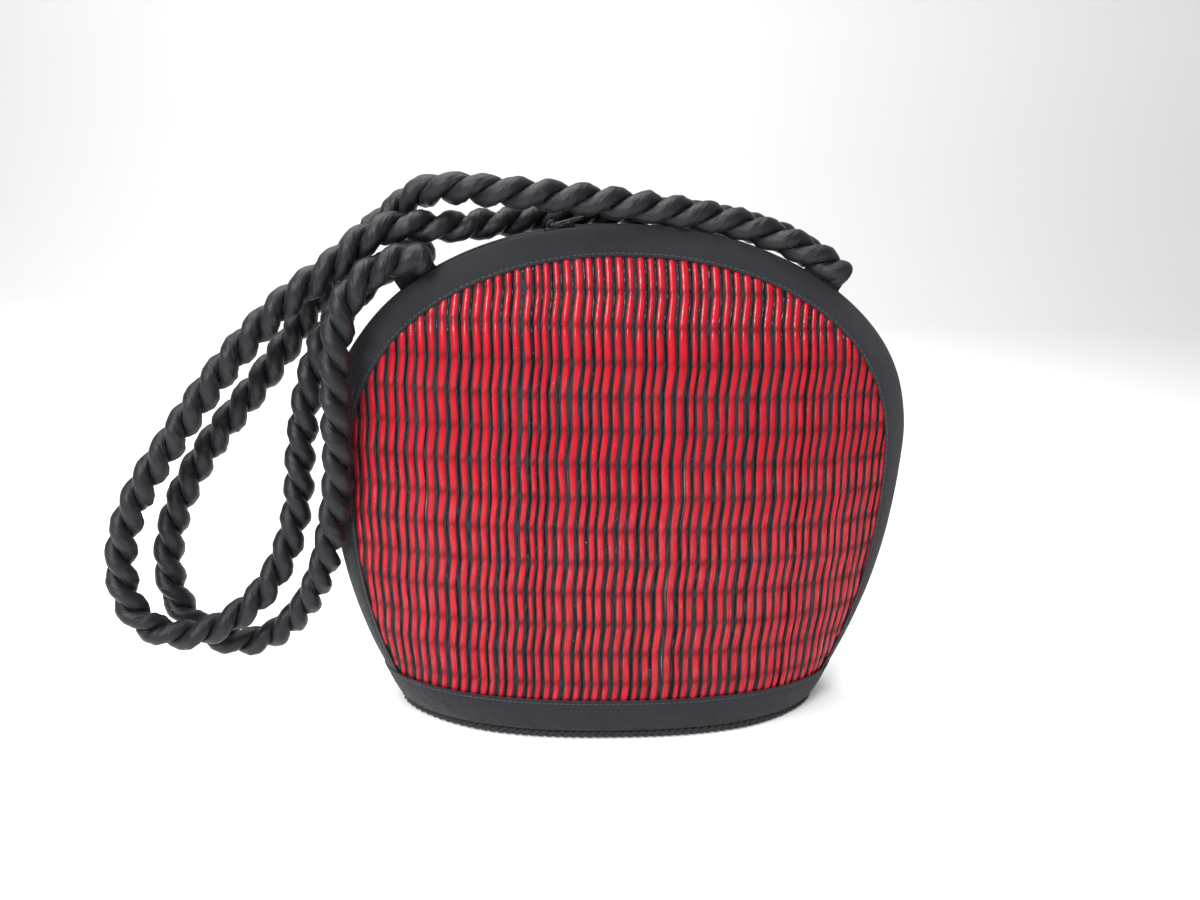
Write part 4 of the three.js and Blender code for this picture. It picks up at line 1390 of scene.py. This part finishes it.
class PURSE_OT_tabs(bpy.types.Operator):
    """Sews the four cloth tabs that hold the ropes"""

    bl_idname = "purse.tabs"
    bl_label = "Handle tabs"

    # A strap: its width, how far it reaches inside and outside the bag's edge, its thickness and its corners
    width, inside, outside, thickness, corner = 0.019, 0.013, 0.011, 0.0012, 0.0065
    # The two sewn lines up a strap, as a share of its half width
    sewn_at = 0.84

    def execute(self, context):
        groups = sizes()
        cloth = groups["cloth"]
        form = MatForm(groups["body"])
        materials = [
            cloth_material("black_cotton_tab", tuple(cloth.cloth), cloth.weave_pitch),
            thread_material("tab_thread", tuple(cloth.thread)),
        ]
        for end, side in WALLS:
            for hand, place in (("right", form.body.tab_right), ("left", -form.body.tab_left)):
                piece = Piece(f"tab_{end}_{hand}_strap")
                self.strap(piece, form, cloth, side, place)
                piece.finish(materials, "purse", [f"tab_{end}_{hand}"])
        return {"FINISHED"}

    def outline(self):
        """Round a strap's section: shares of its half width and of its half thickness."""
        upper = []
        for u in np.linspace(-1, 1, 13):
            at_edge = abs(u) == 1
            thin = 1 - 0.18 * bell(abs(u) - self.sewn_at, 0.06)
            upper.append((u * (1 - 0.012 * at_edge), thin * (0.55 if at_edge else 1.0)))
        return upper + [(u, -v) for u, v in reversed(upper)]

    def strap(self, piece, form, cloth, side, place):
        """A folded strap with rounded edges, two sewn lines and a line across its top."""
        half = self.thickness / 2
        facing = np.array([0, side, 0.0])
        edge, out, right = (v[0] for v in form.arch(np.array([place])))
        beside = form.body.zip_half_gap - form.body.clearance - half
        together = 1.5 * form.body.clearance + half
        ways = np.linspace(-self.inside, self.outside, 33)
        bend = np.clip((ways + 0.002) / 0.0045, 0, 1)
        levels = beside + (together - beside) * bend * bend * (3 - 2 * bend)
        outline = self.outline()
        rows = []
        for way, level in zip(ways, levels):
            height = half * (0.6 if way in (ways[0], ways[-1]) else 1.0)
            past = max(way - self.outside + self.corner, 0)
            reach = self.width / 2 - self.corner + math.sqrt(max(self.corner ** 2 - past ** 2, 0))
            middle = edge + out * way
            rows.append([middle + right * (u * reach) + facing * (level + v * height) for u, v in outline])
        piece.grid(np.array(rows), around=True, uv=(ways, np.linspace(0, 2 * self.width, len(outline) + 1)))
        piece.close()
        stitches = [
            (edge + out * way + right * (u * self.width / 2) + facing * (together + half * 0.9), out)
            for u in (-self.sewn_at, self.sewn_at)
            for way in np.arange(0.003, self.outside - self.corner, cloth.stitch_pitch)
        ]
        top = edge + out * (self.outside - 0.0016)
        stitches += [
            (top + right * (u * self.width / 2) + facing * (together + half), right)
            for u in np.arange(-0.5, 0.5, cloth.stitch_pitch / self.width * 2)
        ]
        places, directions = zip(*stitches)
        outs = [facing] * len(places)
        piece.stitches(places, directions, outs, cloth.stitch_length, cloth.stitch_width, 1)


# Stage


class PURSE_OT_stage(bpy.types.Operator):
    """Sets up the camera, the pale floor and the soft lights"""

    bl_idname = "purse.stage"
    bl_label = "Camera, floor and lights"

    def execute(self, context):
        stage = sizes()["stage"]
        self.camera(stage)
        self.floor(stage)
        self.light(
            "key_overhead", place=(-0.25, 0.10, 1.15), target=(0.0, 0.0, 0.1), size=1.1, power=stage.key_power
        )
        self.light(
            "fill_front", place=(-0.62, -0.95, 0.85), target=(0.0, 0.0, 0.12), size=0.55,
            power=stage.fill_power,
        )
        bpy.context.scene.view_settings.view_transform = "Standard"
        world = bpy.data.worlds.new("pale_room")
        bpy.context.scene.world = world
        world.use_nodes = True
        world.node_tree.nodes["Background"].inputs["Color"].default_value = (1.0, 1.0, 1.0, 1)
        world.node_tree.nodes["Background"].inputs["Strength"].default_value = stage.sky
        return {"FINISHED"}

    @staticmethod
    def camera(stage):
        """The photograph's camera."""
        data = bpy.data.cameras.new("photo_camera")
        camera = bpy.data.objects.new("photo_camera", data)
        bpy.context.scene.collection.objects.link(camera)
        bpy.context.scene.camera = camera
        data.sensor_fit = "HORIZONTAL"
        data.lens = stage.focal_pixels * data.sensor_width / PHOTO_WIDTH
        data.clip_start = 0.01
        ahead = Vector((
            math.sin(stage.yaw) * math.cos(stage.pitch),
            math.cos(stage.yaw) * math.cos(stage.pitch),
            -math.sin(stage.pitch),
        ))
        level = Vector((math.cos(stage.yaw), -math.sin(stage.yaw), 0))
        rise = level.cross(ahead)
        right = level * math.cos(stage.roll) + rise * math.sin(stage.roll)
        up = rise * math.cos(stage.roll) - level * math.sin(stage.roll)
        turn = Matrix((right, up, -ahead)).transposed().to_4x4()
        camera.matrix_world = Matrix.Translation(stage.camera_place) @ turn

    @staticmethod
    def floor(stage):
        """A floor that curves up into a backdrop, swept from a short profile."""
        bm = bmesh.new()
        depth, height, radius, half = 1.6, 2.4, 0.5, 3.2
        profile = [(-3.0, 0.0), (depth - radius, 0.0)]
        profile += [
            (depth - radius + radius * math.sin(a), radius - radius * math.cos(a))
            for a in np.linspace(0, math.pi / 2, 13)[1:]
        ]
        profile.append((depth, height))
        verts = [bm.verts.new((-half, y, z - 0.0001)) for y, z in profile]
        edges = [bm.edges.new(pair) for pair in zip(verts, verts[1:])]
        made = bmesh.ops.extrude_edge_only(bm, edges=edges)["geom"]
        moved = [v for v in made if isinstance(v, bmesh.types.BMVert)]
        bmesh.ops.translate(bm, verts=moved, vec=(2 * half, 0, 0))
        for face in bm.faces:
            face.smooth = True
        mesh = bpy.data.meshes.new("pale_floor")
        bm.to_mesh(mesh)
        bm.free()
        mesh.materials.append(floor_material(tuple(stage.floor)))
        floor = bpy.data.objects.new("pale_floor", mesh)
        bpy.context.scene.collection.objects.link(floor)

    @staticmethod
    def light(name, place, target, size, power):
        """A square soft light that faces a point."""
        data = bpy.data.lights.new(name, "AREA")
        data.size = size
        data.energy = power
        lamp = bpy.data.objects.new(name, data)
        bpy.context.scene.collection.objects.link(lamp)
        lamp.location = place
        lamp.rotation_euler = (Vector(target) - Vector(place)).to_track_quat("-Z", "Y").to_euler()


class PURSE_PT_build(bpy.types.Panel):
    """Lists the steps that build the purse"""

    bl_label = "Reed Purse"
    bl_idname = "PURSE_PT_build"
    bl_space_type = "VIEW_3D"
    bl_region_type = "UI"
    bl_category = "Purse"

    def draw(self, context):
        for operator in OPERATORS:
            self.layout.operator(operator.bl_idname)


GROUPS = {
    "purse_body": PurseBody,
    "purse_reeds": PurseReeds,
    "purse_cloth": PurseCloth,
    "purse_ropes": PurseRopes,
    "purse_zip": PurseZip,
    "purse_stage": PurseStage,
}
OPERATORS = (
    PURSE_OT_stage, PURSE_OT_ropes, PURSE_OT_mats, PURSE_OT_bindings, PURSE_OT_base, PURSE_OT_zip, PURSE_OT_tabs,
)


def register():
    for group in (*GROUPS.values(), *OPERATORS, PURSE_PT_build):
        bpy.utils.register_class(group)
    for name, group in GROUPS.items():
        setattr(bpy.types.Scene, name, PointerProperty(type=group))


def unregister():
    for name in GROUPS:
        delattr(bpy.types.Scene, name)
    for group in (PURSE_PT_build, *reversed(OPERATORS), *reversed(GROUPS.values())):
        bpy.utils.unregister_class(group)


def main():
    register()
    bpy.ops.purse.stage()
    bpy.ops.purse.ropes()
    bpy.ops.purse.mats()
    bpy.ops.purse.bindings()
    bpy.ops.purse.base()
    bpy.ops.purse.zip()
    bpy.ops.purse.tabs()
    bpy.context.view_layer.update()


if __name__ == "__main__":
    main()
